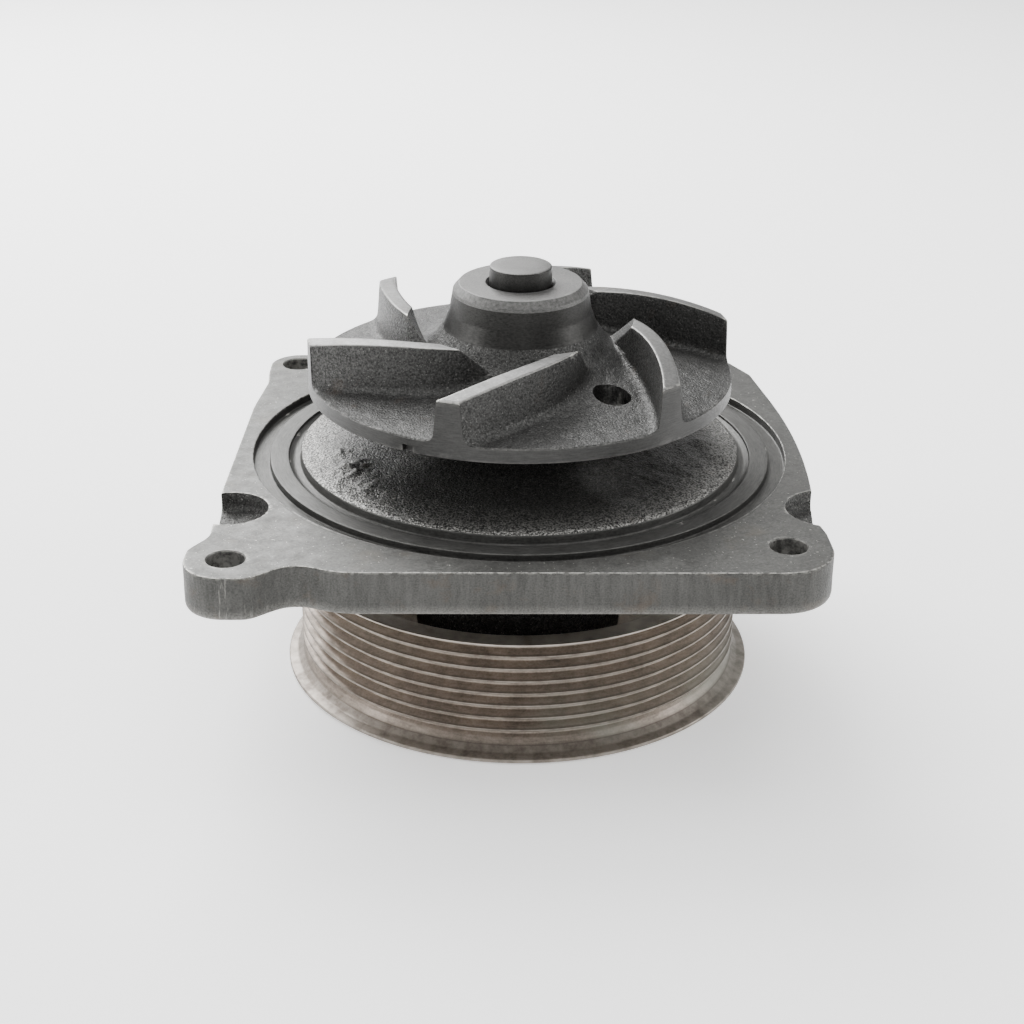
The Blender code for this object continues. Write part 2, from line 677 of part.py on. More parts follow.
def make_vane(name):
    """A vane lofted through cross-sections that follow its centre line, thicker at the foot."""
    foot = IMPELLER_BOTTOM + VANE_FOOT_DEPTH
    outermost = IMPELLER_RADIUS + 0.0022
    radii = [VANE_NOSE_RADIUS, (VANE_NOSE_RADIUS + VANE_INNER_RADIUS) / 2.0]
    span = outermost - VANE_INNER_RADIUS
    radii += [VANE_INNER_RADIUS + span * step / (VANE_STATIONS - 1) for step in range(VANE_STATIONS)]
    vertices = []
    faces = []
    for radius in radii:
        centre = vane_centre(radius)
        along = (vane_centre(radius + 0.0003) - vane_centre(radius - 0.0003)).normalized()
        across = Vector((-along.y, along.x, 0.0))
        top = vane_top(radius)
        from_nose = (radius - VANE_NOSE_RADIUS) / (VANE_INNER_RADIUS - VANE_NOSE_RADIUS)
        blunt = min(1.0, VANE_NOSE_BLUNTNESS + (1.0 - VANE_NOSE_BLUNTNESS) * from_nose)
        foot_side = across * (VANE_FOOT_THICKNESS / 2.0 * blunt)
        top_side = across * (VANE_THICKNESS / 2.0 * blunt)
        vertices += [
            centre + foot_side + Vector((0.0, 0.0, foot)),
            centre - foot_side + Vector((0.0, 0.0, foot)),
            centre - top_side + Vector((0.0, 0.0, top)),
            centre + top_side + Vector((0.0, 0.0, top)),
        ]
    for index in range(len(radii) - 1):
        base = 4 * index
        for corner in range(4):
            after = (corner + 1) % 4
            faces.append((base + corner, base + 4 + corner, base + 4 + after, base + after))
    faces.append((0, 1, 2, 3))
    last = 4 * (len(radii) - 1)
    faces.append((last + 3, last + 2, last + 1, last))
    thing = mesh_object(name, cutters, vertices, [], faces)
    shape = bmesh.new()
    shape.from_mesh(thing.data)
    bmesh.ops.recalc_face_normals(shape, faces=shape.faces)
    shape.to_mesh(thing.data)
    shape.free()
    return as_cutter(thing)


def build_impeller():
    bore = SHAFT_SEAT_RADIUS + FIT_GAP
    blank_radius = IMPELLER_RADIUS + 0.0010
    profile = [
        (HUB_RADIUS - HUB_CHAMFER_WIDTH, HUB_TOP),
        (HUB_RADIUS, HUB_TOP - HUB_CHAMFER_DEPTH),
    ]
    profile += [(HUB_FOOT_RADIUS + out, HUB_TOP - drop) for out, drop in HUB_FILLET]
    profile += [
        (DISC_MIDDLE_RADIUS, DISC_MIDDLE_TOP),
        (blank_radius, RIM_TOP),
        (blank_radius, IMPELLER_BOTTOM),
        (bore, IMPELLER_BOTTOM),
        (bore, HUB_TOP - HUB_BORE_CHAMFER),
        (bore + HUB_BORE_CHAMFER, HUB_TOP),
    ]
    impeller = revolve("impeller", profile, ROUND_FINE)
    for index in range(VANE_COUNT):
        vane = make_vane("vane_%d" % (index + 1))
        vane.rotation_euler = (0.0, 0.0, 2.0 * math.pi * index / VANE_COUNT)
        apply_boolean(impeller, vane, "UNION")
    trim = (
        (IMPELLER_RADIUS + 0.0060, HUB_TOP),
        (IMPELLER_RADIUS + 0.0060, IMPELLER_BOTTOM - 0.0020),
        (IMPELLER_RADIUS, IMPELLER_BOTTOM - 0.0020),
        (IMPELLER_RADIUS, HUB_TOP),
    )
    apply_boolean(impeller, as_cutter(revolve("impeller_trim", trim, ROUND_FINE)), "DIFFERENCE")
    for index in range(BALANCE_HOLE_COUNT):
        angle = BALANCE_HOLE_ANGLE + 2.0 * math.pi * index / BALANCE_HOLE_COUNT
        place = (BALANCE_HOLE_CIRCLE * math.cos(angle), BALANCE_HOLE_CIRCLE * math.sin(angle))
        hole = disc_cutter(
            "balance_hole_%d" % (index + 1),
            BALANCE_HOLE_RADIUS,
            IMPELLER_BOTTOM - 0.002,
            RIM_TOP + 0.006,
            place,
            segments=20,
        )
        apply_boolean(impeller, hole, "DIFFERENCE")
    notch_mesh = bpy.data.meshes.new("rim_notch")
    shape = bmesh.new()
    bmesh.ops.create_cube(shape, size=1.0)
    shape.to_mesh(notch_mesh)
    shape.free()
    notch = bpy.data.objects.new("rim_notch", notch_mesh)
    notch_height = 2.0 * (NOTCH_TOP - IMPELLER_BOTTOM)
    notch.scale = (NOTCH_DEPTH, NOTCH_WIDTH, notch_height)
    notch.rotation_euler = (0.0, 0.0, NOTCH_ANGLE)
    notch.location = (
        IMPELLER_RADIUS * math.cos(NOTCH_ANGLE),
        IMPELLER_RADIUS * math.sin(NOTCH_ANGLE),
        IMPELLER_BOTTOM,
    )
    apply_boolean(impeller, as_cutter(notch), "DIFFERENCE")
    finish(impeller, "impeller_iron")


def build_pulley():
    """Ribbed rim, lower flange, web and hub turned as one piece."""
    bore = SHAFT_PULLEY_RADIUS + FIT_GAP
    profile = [(CREST_RADIUS, PULLEY_TOP)]
    for index in range(RIB_COUNT):
        crest = FIRST_CREST - RIB_PITCH * index
        if index > 0:
            profile.append((CREST_RADIUS, crest + CREST_HALF_WIDTH))
        profile.append((CREST_RADIUS, crest - CREST_HALF_WIDTH))
        profile.append((ROOT_RADIUS, crest - RIB_PITCH / 2.0))
    last_crest = FIRST_CREST - RIB_PITCH * RIB_COUNT
    profile += [
        (CREST_RADIUS, last_crest + CREST_HALF_WIDTH),
        (CREST_RADIUS + 0.0012, last_crest - 0.0016),
        (FLANGE_RADIUS, FLANGE_EDGE_TOP),
        (FLANGE_RADIUS, FLANGE_EDGE_BOTTOM),
        (FLANGE_RADIUS - FLANGE_EDGE_BOTTOM, 0.0),
        (RIM_INNER_RADIUS, 0.0),
        (RIM_INNER_RADIUS - 0.0010, WEB_BOTTOM),
        (PULLEY_HUB_RADIUS + 0.0010, WEB_BOTTOM),
        (PULLEY_HUB_RADIUS, FIT_GAP),
        (bore, FIT_GAP),
        (bore, PULLEY_HUB_TOP),
        (PULLEY_HUB_RADIUS, PULLEY_HUB_TOP),
        (PULLEY_HUB_RADIUS, WEB_TOP),
        (RIM_INNER_RADIUS - 0.0020, WEB_TOP),
        (RIM_INNER_RADIUS, WEB_TOP + 0.0020),
        (RIM_INNER_RADIUS + 0.0006, PULLEY_TOP),
    ]
    finish(revolve("pulley", profile, PULLEY_ROUND), "pulley_steel")


build_housing()
build_shaft()
for bearing_place, bearing_floor in BEARING_FLOORS.items():
    build_bearing(bearing_place, bearing_floor)
build_bearing_neighbours()
build_seal()
build_impeller()
build_pulley()
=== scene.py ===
import math

import bpy
import numpy as np
from mathutils import Matrix


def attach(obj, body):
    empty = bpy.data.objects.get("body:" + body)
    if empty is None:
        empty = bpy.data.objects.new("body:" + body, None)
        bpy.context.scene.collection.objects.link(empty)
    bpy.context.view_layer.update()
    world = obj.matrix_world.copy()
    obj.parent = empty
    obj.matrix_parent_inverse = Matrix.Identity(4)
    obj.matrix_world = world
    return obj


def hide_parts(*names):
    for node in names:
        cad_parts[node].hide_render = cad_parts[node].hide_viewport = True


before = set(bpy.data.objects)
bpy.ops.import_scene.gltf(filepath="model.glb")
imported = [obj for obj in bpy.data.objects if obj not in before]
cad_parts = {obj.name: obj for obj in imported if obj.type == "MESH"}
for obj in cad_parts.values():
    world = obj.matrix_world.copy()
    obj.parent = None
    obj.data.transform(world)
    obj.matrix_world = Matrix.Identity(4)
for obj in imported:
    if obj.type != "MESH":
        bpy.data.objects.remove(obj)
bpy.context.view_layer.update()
print("frame loaded")

# All shapes are worked out in millimetres, with the pulley's lower rim at height 0, and scaled as
# they become meshes
mm = 0.001
turn = 2.0 * math.pi


def latticeNoise(points, cell, seed):
    # random values at the corners of cubes of side cell, blended by eased distances, from -1 to 1
    scaled = points / cell
    corner = np.floor(scaled).astype(np.int64)
    part = scaled - corner
    part = part * part * (3.0 - 2.0 * part)
    total = np.zeros(points.shape[:-1])
    for east in (0, 1):
        for north in (0, 1):
            for up in (0, 1):
                key = (corner[..., 0] + east) * 73856093
                key = key ^ ((corner[..., 1] + north) * 19349663)
                key = key ^ ((corner[..., 2] + up) * 83492791) ^ (seed * 7919)
                key = (key ^ (key >> 13)) * 12741261
                key = key ^ (key >> 16)
                value = (key & 0xFFFF) / 32767.5 - 1.0
                weight = np.where(east, part[..., 0], 1.0 - part[..., 0])
                weight = weight * np.where(north, part[..., 1], 1.0 - part[..., 1])
                weight = weight * np.where(up, part[..., 2], 1.0 - part[..., 2])
                total += value * weight
    return total


def castNoise(points, cell, layers, seed):
    # a sum of lattice noises, each half the size and half the height of the one before
    total = np.zeros(points.shape[:-1])
    for layer in range(layers):
        total += latticeNoise(points, cell / 2.0**layer, seed + layer) / 2.0**layer
    return total


def cylinderPoints(radius, angle, height):
    # arrays of radius, angle and height become points on circles round the shaft
    radius, angle, height = np.broadcast_arrays(radius, angle, height)
    return np.stack([radius * np.cos(angle), radius * np.sin(angle), height], axis=-1)


def roundedLine(corners, steps=4, closed=True):
    # a line through (x, y, radius) corners, where each corner is replaced by an arc of its radius
    spots = np.array([corner[:2] for corner in corners], float)
    out = []
    count = len(corners)
    for index in range(count):
        here = spots[index]
        radius = corners[index][2] if len(corners[index]) > 2 else 0.0
        atEnd = not closed and index in (0, count - 1)
        if radius <= 0.0 or atEnd:
            out.append(here[None])
            continue
        before = spots[index - 1] - here
        after = spots[(index + 1) % count] - here
        before = before / np.linalg.norm(before)
        after = after / np.linalg.norm(after)
        opening = math.acos(max(-1.0, min(1.0, float(before @ after))))
        bend = math.pi - opening
        if bend < 0.01:
            out.append(here[None])
            continue
        reach = radius * math.tan(bend / 2.0)
        middle = (before + after) / np.linalg.norm(before + after)
        centre = here + middle * radius / math.cos(bend / 2.0)
        spoke = here + before * reach - centre
        side = 1.0 if before[0] * after[1] - before[1] * after[0] < 0.0 else -1.0
        angles = side * bend * np.linspace(0.0, 1.0, steps + 1)
        cosines, sines = np.cos(angles), np.sin(angles)
        out.append(
            centre
            + np.stack([spoke[0] * cosines - spoke[1] * sines,
                        spoke[0] * sines + spoke[1] * cosines], axis=-1)
        )
    return np.concatenate(out)


def spacedLine(line, longest, closed=True):
    # the same line with points added so that no step is longer than the given length
    ends = np.roll(line, -1, axis=0) if closed else line[1:]
    starts = line if closed else line[:-1]
    out = []
    for start, end in zip(starts, ends):
        pieces = max(1, math.ceil(np.linalg.norm(end - start) / longest))
        out.append(start + (end - start) * (np.arange(pieces) / pieces)[:, None])
    if not closed:
        out.append(line[-1:])
    return np.concatenate(out)


def gridMesh(name, points, closeRows, capEnds, paint, materials):
    # points[row, column] become a mesh of quads; columns always close, and open row ends may get flat caps
    rows, columns = points.shape[:2]
    rowCount = rows if closeRows else rows - 1
    row = np.arange(rowCount)[:, None]
    column = np.arange(columns)[None, :]
    nextRow = (row + 1) % rows
    nextColumn = (column + 1) % columns
    quads = np.stack(
        [
            row * columns + column,
            nextRow * columns + column,
            nextRow * columns + nextColumn,
            row * columns + nextColumn,
        ],
        axis=-1,
    ).reshape(-1, 4)
    caps = []
    if capEnds:
        caps = [np.arange(columns), (rows - 1) * columns + np.arange(columns)[::-1]]
    spots = points.reshape(-1, 3)
    corners = [spots[quads[:, step]] for step in range(4)]
    volume = np.einsum("ij,ij->i", corners[0], np.cross(corners[1], corners[2])).sum()
    volume += np.einsum("ij,ij->i", corners[0], np.cross(corners[2], corners[3])).sum()
    for cap in caps:
        fan = spots[cap]
        volume += np.einsum("j,ij->", fan[0], np.cross(fan[1:-1], fan[2:]))
    if volume < 0.0:
        quads = quads[:, ::-1]
        caps = [cap[::-1] for cap in caps]
    mesh = bpy.data.meshes.new(name)
    mesh.vertices.add(len(spots))
    mesh.vertices.foreach_set("co", (spots * mm).ravel())
    loops = np.concatenate([quads.ravel()] + caps)
    starts = np.concatenate(
        [np.arange(len(quads)) * 4, len(quads) * 4 + np.arange(len(caps)) * columns]
    )
    mesh.loops.add(len(loops))
    mesh.loops.foreach_set("vertex_index", loops)
    mesh.polygons.add(len(starts))
    mesh.polygons.foreach_set("loop_start", starts)
    for material in materials:
        mesh.materials.append(material)
    if paint is not None:
        used = np.broadcast_to(paint, (rowCount, columns)).ravel()
        capPaint = [used[0], used[-1]][: len(caps)]
        mesh.polygons.foreach_set("material_index", np.concatenate([used, capPaint]).astype(np.int32))
    mesh.update(calc_edges=True)
    mesh.validate()
    return mesh


def smoothShade(mesh, sharpAngle):
    mesh.polygons.foreach_set("use_smooth", np.ones(len(mesh.polygons), bool))
    mesh.set_sharp_from_angle(angle=math.radians(sharpAngle))


def gridPiece(name, points, materials, closeRows=True, capEnds=False, paint=None, sharpAngle=32.0):
    mesh = gridMesh(name, points, closeRows, capEnds, paint, materials)
    smoothShade(mesh, sharpAngle)
    piece = bpy.data.objects.new(name, mesh)
    bpy.context.scene.collection.objects.link(piece)
    return piece


def placed(piece, node, body):
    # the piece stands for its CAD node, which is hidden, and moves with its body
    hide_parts(node)
    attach(piece, body)
    return piece


def holeTool(east, north, radius, low, high, lip, paintIndex, materials, columns=40):
    # a round cutter that widens by its lip at both faces, so that the cut edge is broken
    over = 1.0
    profile = [
        (radius + lip + over, low - over),
        (radius, low + lip),
        (radius, high - lip),
        (radius + lip + over, high + over),
    ]
    radii = np.array([spot[0] for spot in profile])[:, None]
    heights = np.array([spot[1] for spot in profile])[:, None]
    angles = np.linspace(0.0, turn, columns, endpoint=False)[None, :]
    points = cylinderPoints(radii, angles, heights) + np.array([east, north, 0.0])
    return gridMesh("hole", points, False, True, paintIndex, materials)


def cutFrom(piece, tools, sharpAngle):
    # each tool mesh is taken out of the piece, which then gets its creases again
    for index, tool in enumerate(tools):
        cutter = bpy.data.objects.new("cut%d" % index, tool)
        bpy.context.scene.collection.objects.link(cutter)
        step = piece.modifiers.new("cut", "BOOLEAN")
        step.operation = "DIFFERENCE"
        step.solver = "EXACT"
        step.object = cutter
    bpy.context.view_layer.update()
    graph = bpy.context.evaluated_depsgraph_get()
    cutMesh = bpy.data.meshes.new_from_object(piece.evaluated_get(graph))
    cutters = [step.object for step in piece.modifiers]
    piece.modifiers.clear()
    piece.data = cutMesh
    for cutter in cutters:
        bpy.data.objects.remove(cutter, do_unlink=True)
    smoothShade(cutMesh, sharpAngle)


class Nodes:
    # short calls for building one material's node tree
    def __init__(self, name):
        self.material = bpy.data.materials.new(name)
        self.material.use_nodes = True
        self.tree = self.material.node_tree
        self.shader = self.tree.nodes["Principled BSDF"]
        coordinates = self.tree.nodes.new("ShaderNodeTexCoord")
        self.place = coordinates.outputs["Object"]

    def add(self, kind, **settings):
        node = self.tree.nodes.new(kind)
        for key, value in settings.items():
            setattr(node, key, value)
        return node

    def join(self, source, target):
        if hasattr(source, "links"):
            self.tree.links.new(source, target)
        else:
            target.default_value = source

    def math(self, operation, first, second=0.0, third=0.0, clamp=False):
        node = self.add("ShaderNodeMath", operation=operation, use_clamp=clamp)
        for socket, value in zip(node.inputs, (first, second, third)):
            self.join(value, socket)
        return node.outputs[0]

    def noise(self, scale, detail=2.0, roughness=0.5, place=None, distortion=0.0):
        node = self.add("ShaderNodeTexNoise")
        self.join(place or self.place, node.inputs["Vector"])
        node.inputs["Scale"].default_value = scale
        node.inputs["Detail"].default_value = detail
        node.inputs["Roughness"].default_value = roughness
        node.inputs["Distortion"].default_value = distortion
        return node.outputs["Fac"]

    def cells(self, scale, place=None, feature="F1"):
        node = self.add("ShaderNodeTexVoronoi", feature=feature)
        self.join(place or self.place, node.inputs["Vector"])
        node.inputs["Scale"].default_value = scale
        return node.outputs["Distance"]

    def ramp(self, value, low, high, fromValue=0.0, toValue=1.0, smooth=False):
        node = self.add("ShaderNodeMapRange", interpolation_type="SMOOTHSTEP" if smooth else "LINEAR")
        self.join(value, node.inputs["Value"])
        node.inputs["From Min"].default_value = low
        node.inputs["From Max"].default_value = high
        node.inputs["To Min"].default_value = fromValue
        node.inputs["To Max"].default_value = toValue
        return node.outputs["Result"]

    def mix(self, share, first, second, blend="MIX"):
        node = self.add("ShaderNodeMix", data_type="RGBA", blend_type=blend)
        self.join(share, node.inputs[0])
        for socket, value in ((node.inputs[6], first), (node.inputs[7], second)):
            self.join((*value, 1.0) if isinstance(value, tuple) else value, socket)
        return node.outputs[2]

    def split(self, place=None):
        node = self.add("ShaderNodeSeparateXYZ")
        self.join(place or self.place, node.inputs[0])
        return node.outputs

    def combine(self, east, north, up):
        node = self.add("ShaderNodeCombineXYZ")
        for socket, value in zip(node.inputs, (east, north, up)):
            self.join(value, socket)
        return node.outputs[0]

    def ring(self):
        # distance from the shaft's axis, and the angle round it
        parts = self.split()
        east, north = parts[0], parts[1]
        square = self.math("ADD", self.math("MULTIPLY", east, east), self.math("MULTIPLY", north, north))
        return self.math("SQRT", square), self.math("ARCTAN2", north, east), parts[2]

    def scaled(self, east, north, up, angle=0.0):
        node = self.add("ShaderNodeMapping")
        self.join(self.place, node.inputs["Vector"])
        node.inputs["Scale"].default_value = (east, north, up)
        node.inputs["Rotation"].default_value = (0.0, 0.0, angle)
        return node.outputs[0]

    def edges(self, low, high):
        # 1 on sharp outer edges, 0 on flat and hollow places
        node = self.add("ShaderNodeNewGeometry")
        return self.ramp(node.outputs["Pointiness"], low, high)

    def bump(self, height, strength, distance, below=None):
        node = self.add("ShaderNodeBump")
        node.inputs["Strength"].default_value = strength
        node.inputs["Distance"].default_value = distance
        self.join(height, node.inputs["Height"])
        if below is not None:
            self.join(below, node.inputs["Normal"])
        return node.outputs["Normal"]

    def finish(self, color, metallic, roughness, normal=None, **constants):
        self.join((*color, 1.0) if isinstance(color, tuple) else color, self.shader.inputs["Base Color"])
        self.join(metallic, self.shader.inputs["Metallic"])
        self.join(roughness, self.shader.inputs["Roughness"])
        if normal is not None:
            self.join(normal, self.shader.inputs["Normal"])
        for key, value in constants.items():
            self.shader.inputs[key].default_value = value
        return self.material


castLook = {
    "dark": (0.016, 0.016, 0.015),
    "light": (0.085, 0.084, 0.080),
    # the bright colour of the painted glints, of the painted light at the dome's edge and of worn edges
    "glintAndWear": (0.55, 0.54, 0.51),
    "rust": (0.075, 0.050, 0.034),
    "grain": 1900.0,
    "coarse": 620.0,
    "depth": 0.00036,
    "glintFlecks": 0.35,
    "edgeLightShare": 0.0,
    "roughness": (0.62, 0.40),
}


def castIron(name, look):
    # sand-cast skin: close raised grains with dark hollows between them, small bright flecks as painted
    # glints, painted light on the grains towards the dome's edge, worn bright edges and a trace of rust
    n = Nodes(name)
    grain = n.noise(look["grain"], 3.0, 0.6)
    coarse = n.noise(look["coarse"], 3.0, 0.6)
    pits = n.cells(look["grain"] * 0.75)
    broad = n.noise(34.0, 3.0, 0.5)
    tone = n.math("ADD", n.math("MULTIPLY", grain, 0.8), n.math("MULTIPLY", coarse, 0.2))
    tone = n.ramp(tone, 0.36, 0.66)
    tone = n.math("MULTIPLY", tone, n.ramp(broad, 0.3, 0.7, 0.7, 1.0))
    color = n.mix(tone, look["dark"], look["light"])
    # painted glints: small bright flecks scattered over the grain
    speck = n.ramp(n.noise(look["grain"] * 1.3, 1.0, 0.5), 0.66, 0.74)
    color = n.mix(n.math("MULTIPLY", speck, look["glintFlecks"]), color, look["glintAndWear"])
    # painted light: paler grains towards the dome's edge, standing in for the light that reaches it from
    # the front under the impeller
    domeEdgeLight = n.math("MULTIPLY", n.ramp(n.ring()[0], 0.046, 0.058), n.ramp(grain, 0.44, 0.62))
    color = n.mix(n.math("MULTIPLY", domeEdgeLight, look["edgeLightShare"]), color, look["glintAndWear"])
    rust = n.math("MULTIPLY", n.ramp(n.noise(120.0, 4.0, 0.7), 0.62, 0.76), 0.35)
    color = n.mix(rust, color, look["rust"])
    worn = n.math("MULTIPLY", n.edges(0.53, 0.60), n.ramp(n.noise(420.0, 3.0, 0.6), 0.42, 0.6))
    color = n.mix(n.math("MULTIPLY", worn, 0.45), color, look["glintAndWear"])
    relief = n.math("ADD", n.math("MULTIPLY", coarse, 0.8), n.math("MULTIPLY", grain, 0.6))
    relief = n.math("ADD", relief, n.math("MULTIPLY", n.ramp(pits, 0.0, 0.5), 0.35))
    normal = n.bump(relief, 1.0, look["depth"])
    return n.finish(color, 0.70, n.ramp(grain, 0.3, 0.7, *look["roughness"]), normal)


machinedLook = {
    "dark": (0.048, 0.048, 0.045),
    "light": (0.108, 0.107, 0.101),
    "stain": (0.095, 0.083, 0.066),
    "bright": (0.55, 0.54, 0.50),
    "lineDepth": 0.00002,
    "roughness": (0.40, 0.58),
}


def machinedIron(name, look, centre):
    # faced on a lathe or mill: fine arcs about a far centre, speckle, soft stains and bright nicked edges
    n = Nodes(name)
    parts = n.split()
    east = n.math("SUBTRACT", parts[0], centre[0])
    north = n.math("SUBTRACT", parts[1], centre[1])
    far = n.math("SQRT", n.math("ADD", n.math("MULTIPLY", east, east), n.math("MULTIPLY", north, north)))
    way = n.math("ARCTAN2", north, east)
    along = n.combine(far, n.math("MULTIPLY", way, 0.012),
                      n.math("MULTIPLY", parts[2], 0.1))
    lines = n.noise(2600.0, 2.0, 0.6, along)
    bands = n.noise(500.0, 2.0, 0.5, along)
    speck = n.noise(1500.0, 3.0, 0.65)
    broad = n.noise(30.0, 4.0, 0.55)
    tone = n.math("ADD", n.math("MULTIPLY", lines, 0.20), n.math("MULTIPLY", speck, 0.70))
    tone = n.math("ADD", tone, n.math("MULTIPLY", bands, 0.10))
    tone = n.ramp(tone, 0.36, 0.66)
    tone = n.math("MULTIPLY", tone, n.ramp(broad, 0.3, 0.72, 0.72, 1.0))
    color = n.mix(tone, look["dark"], look["light"])
    stain = n.math("MULTIPLY", n.ramp(n.noise(65.0, 5.0, 0.65), 0.56, 0.76, smooth=True), 0.5)
    color = n.mix(stain, color, look["stain"])
    nick = n.math("MULTIPLY", n.edges(0.52, 0.57), n.ramp(n.noise(650.0, 3.0, 0.6), 0.40, 0.56))
    color = n.mix(n.math("MULTIPLY", nick, 0.9), color, look["bright"])
    dust = n.ramp(n.noise(2100.0, 0.0, 0.5), 0.80, 0.84)
    color = n.mix(n.math("MULTIPLY", dust, 0.6), color, look["bright"])
    relief = n.math("ADD", n.math("MULTIPLY", lines, 0.5), speck)
    normal = n.bump(relief, 0.6, look["lineDepth"])
    low, high = look["roughness"]
    roughness = n.ramp(n.noise(240.0, 4.0, 0.6), 0.3, 0.7, low, high)
    return n.finish(color, 0.70, roughness, normal)


plateEdgeLook = {
    "dark": (0.040, 0.040, 0.037),
    "light": (0.085, 0.084, 0.079),
    "bright": (0.40, 0.39, 0.36),
    "rust": (0.10, 0.066, 0.042),
}


def plateEdge(name, look):
    # cast sides rubbed down: close grain with short upright streaks, paler at the foot, and a rusty bloom
    n = Nodes(name)
    streaks = n.noise(700.0, 3.0, 0.6, n.scaled(1.0, 1.0, 0.16))
    grain = n.noise(2300.0, 2.0, 0.55)
    broad = n.noise(60.0, 3.0, 0.55)
    tone = n.math("ADD", n.math("MULTIPLY", streaks, 0.4), n.math("MULTIPLY", grain, 0.35))
    tone = n.math("ADD", tone, n.math("MULTIPLY", broad, 0.25))
    color = n.mix(n.ramp(tone, 0.36, 0.66), look["dark"], look["light"])
    height = n.split()[2]
    foot = n.math("MULTIPLY", n.ramp(height, 0.0530, 0.0505), n.ramp(grain, 0.3, 0.6, 0.35, 0.8))
    color = n.mix(n.math("MULTIPLY", foot, 0.28), color, look["bright"])
    rust = n.math("MULTIPLY", n.ramp(n.noise(90.0, 5.0, 0.7), 0.54, 0.74), 0.4)
    color = n.mix(rust, color, look["rust"])
    # long pale scratches only on the front left ear
    east = n.ramp(n.split()[0], -0.058, -0.070)
    scratch = n.ramp(n.noise(900.0, 3.0, 0.7, n.scaled(1.0, 1.0, 0.10)), 0.60, 0.72)
    color = n.mix(n.math("MULTIPLY", n.math("MULTIPLY", scratch, east), 0.5), color, look["bright"])
    nick = n.math("MULTIPLY", n.edges(0.52, 0.58), n.ramp(n.noise(600.0, 3.0, 0.6), 0.44, 0.58))
    color = n.mix(n.math("MULTIPLY", nick, 0.7), color, look["bright"])
    relief = n.math("ADD", n.math("MULTIPLY", streaks, 0.5), n.math("MULTIPLY", grain, 0.8))
    normal = n.bump(relief, 0.8, 0.00014)
    return n.finish(color, 0.65, n.ramp(grain, 0.3, 0.7, 0.62, 0.48), normal)


grooveLook = {"dark": (0.030, 0.030, 0.028), "light": (0.095, 0.094, 0.089), "bright": (0.5, 0.49, 0.46)}


def turnedRing(name, look, metallic=0.75, roughness=(0.34, 0.52), lineScale=3800.0, wear=0.7):
    # turned on the shaft's axis: fine rings, a little waviness in tone round the circle, worn bright edges
    n = Nodes(name)
    radius, angle, height = n.ring()
    across = n.math("ADD", radius, n.math("MULTIPLY", height, 1.3))
    along = n.combine(across, n.math("MULTIPLY", angle, 0.004), n.math("MULTIPLY", angle, 0.003))
    lines = n.noise(lineScale, 2.0, 0.6, along)
    wander = n.noise(60.0, 3.0, 0.6)
    speck = n.noise(1700.0, 2.0, 0.6)
    tone = n.math("ADD", n.math("MULTIPLY", lines, 0.45), n.math("MULTIPLY", speck, 0.3))
    tone = n.math("ADD", tone, n.math("MULTIPLY", wander, 0.25))
    color = n.mix(n.ramp(tone, 0.36, 0.66), look["dark"], look["light"])
    nick = n.math("MULTIPLY", n.edges(0.52, 0.58), n.ramp(n.noise(500.0, 3.0, 0.6), 0.38, 0.58))
    color = n.mix(n.math("MULTIPLY", nick, wear), color, look["bright"])
    normal = n.bump(n.math("ADD", lines, n.math("MULTIPLY", speck, 0.4)), 0.5, 0.00004)
    return n.finish(color, metallic, n.ramp(speck, 0.3, 0.7, *roughness), normal)


def plainStuff(name, dark, light, metallic, roughness, grain=900.0, depth=0.00003, **constants):
    # rubber, carbon, ceramic and the like: close mottling, faint relief and a little wander in gloss
    n = Nodes(name)
    fine = n.noise(grain, 3.0, 0.6)
    broad = n.noise(grain / 9.0, 3.0, 0.5)
    tone = n.math("ADD", n.math("MULTIPLY", fine, 0.5), n.math("MULTIPLY", broad, 0.5))
    color = n.mix(n.ramp(tone, 0.35, 0.65), dark, light)
    normal = n.bump(fine, 0.5, depth)
    low, high = roughness
    return n.finish(color, metallic, n.ramp(broad, 0.3, 0.7, low, high), normal, **constants)


pulleyLook = {
    "patina": (0.150, 0.124, 0.102),
    "patinaLight": (0.340, 0.290, 0.245),
    # the crests' painted shade colour, the worn colour, which also paints light on the top face, and the
    # polished colour, which also paints sheen
    "face": (0.085, 0.072, 0.060),
    "worn": (0.42, 0.385, 0.34),
    "polishAndSheen": (0.33, 0.335, 0.29),
    "crestRadius": 0.0605,
    "top": 0.0324,
}


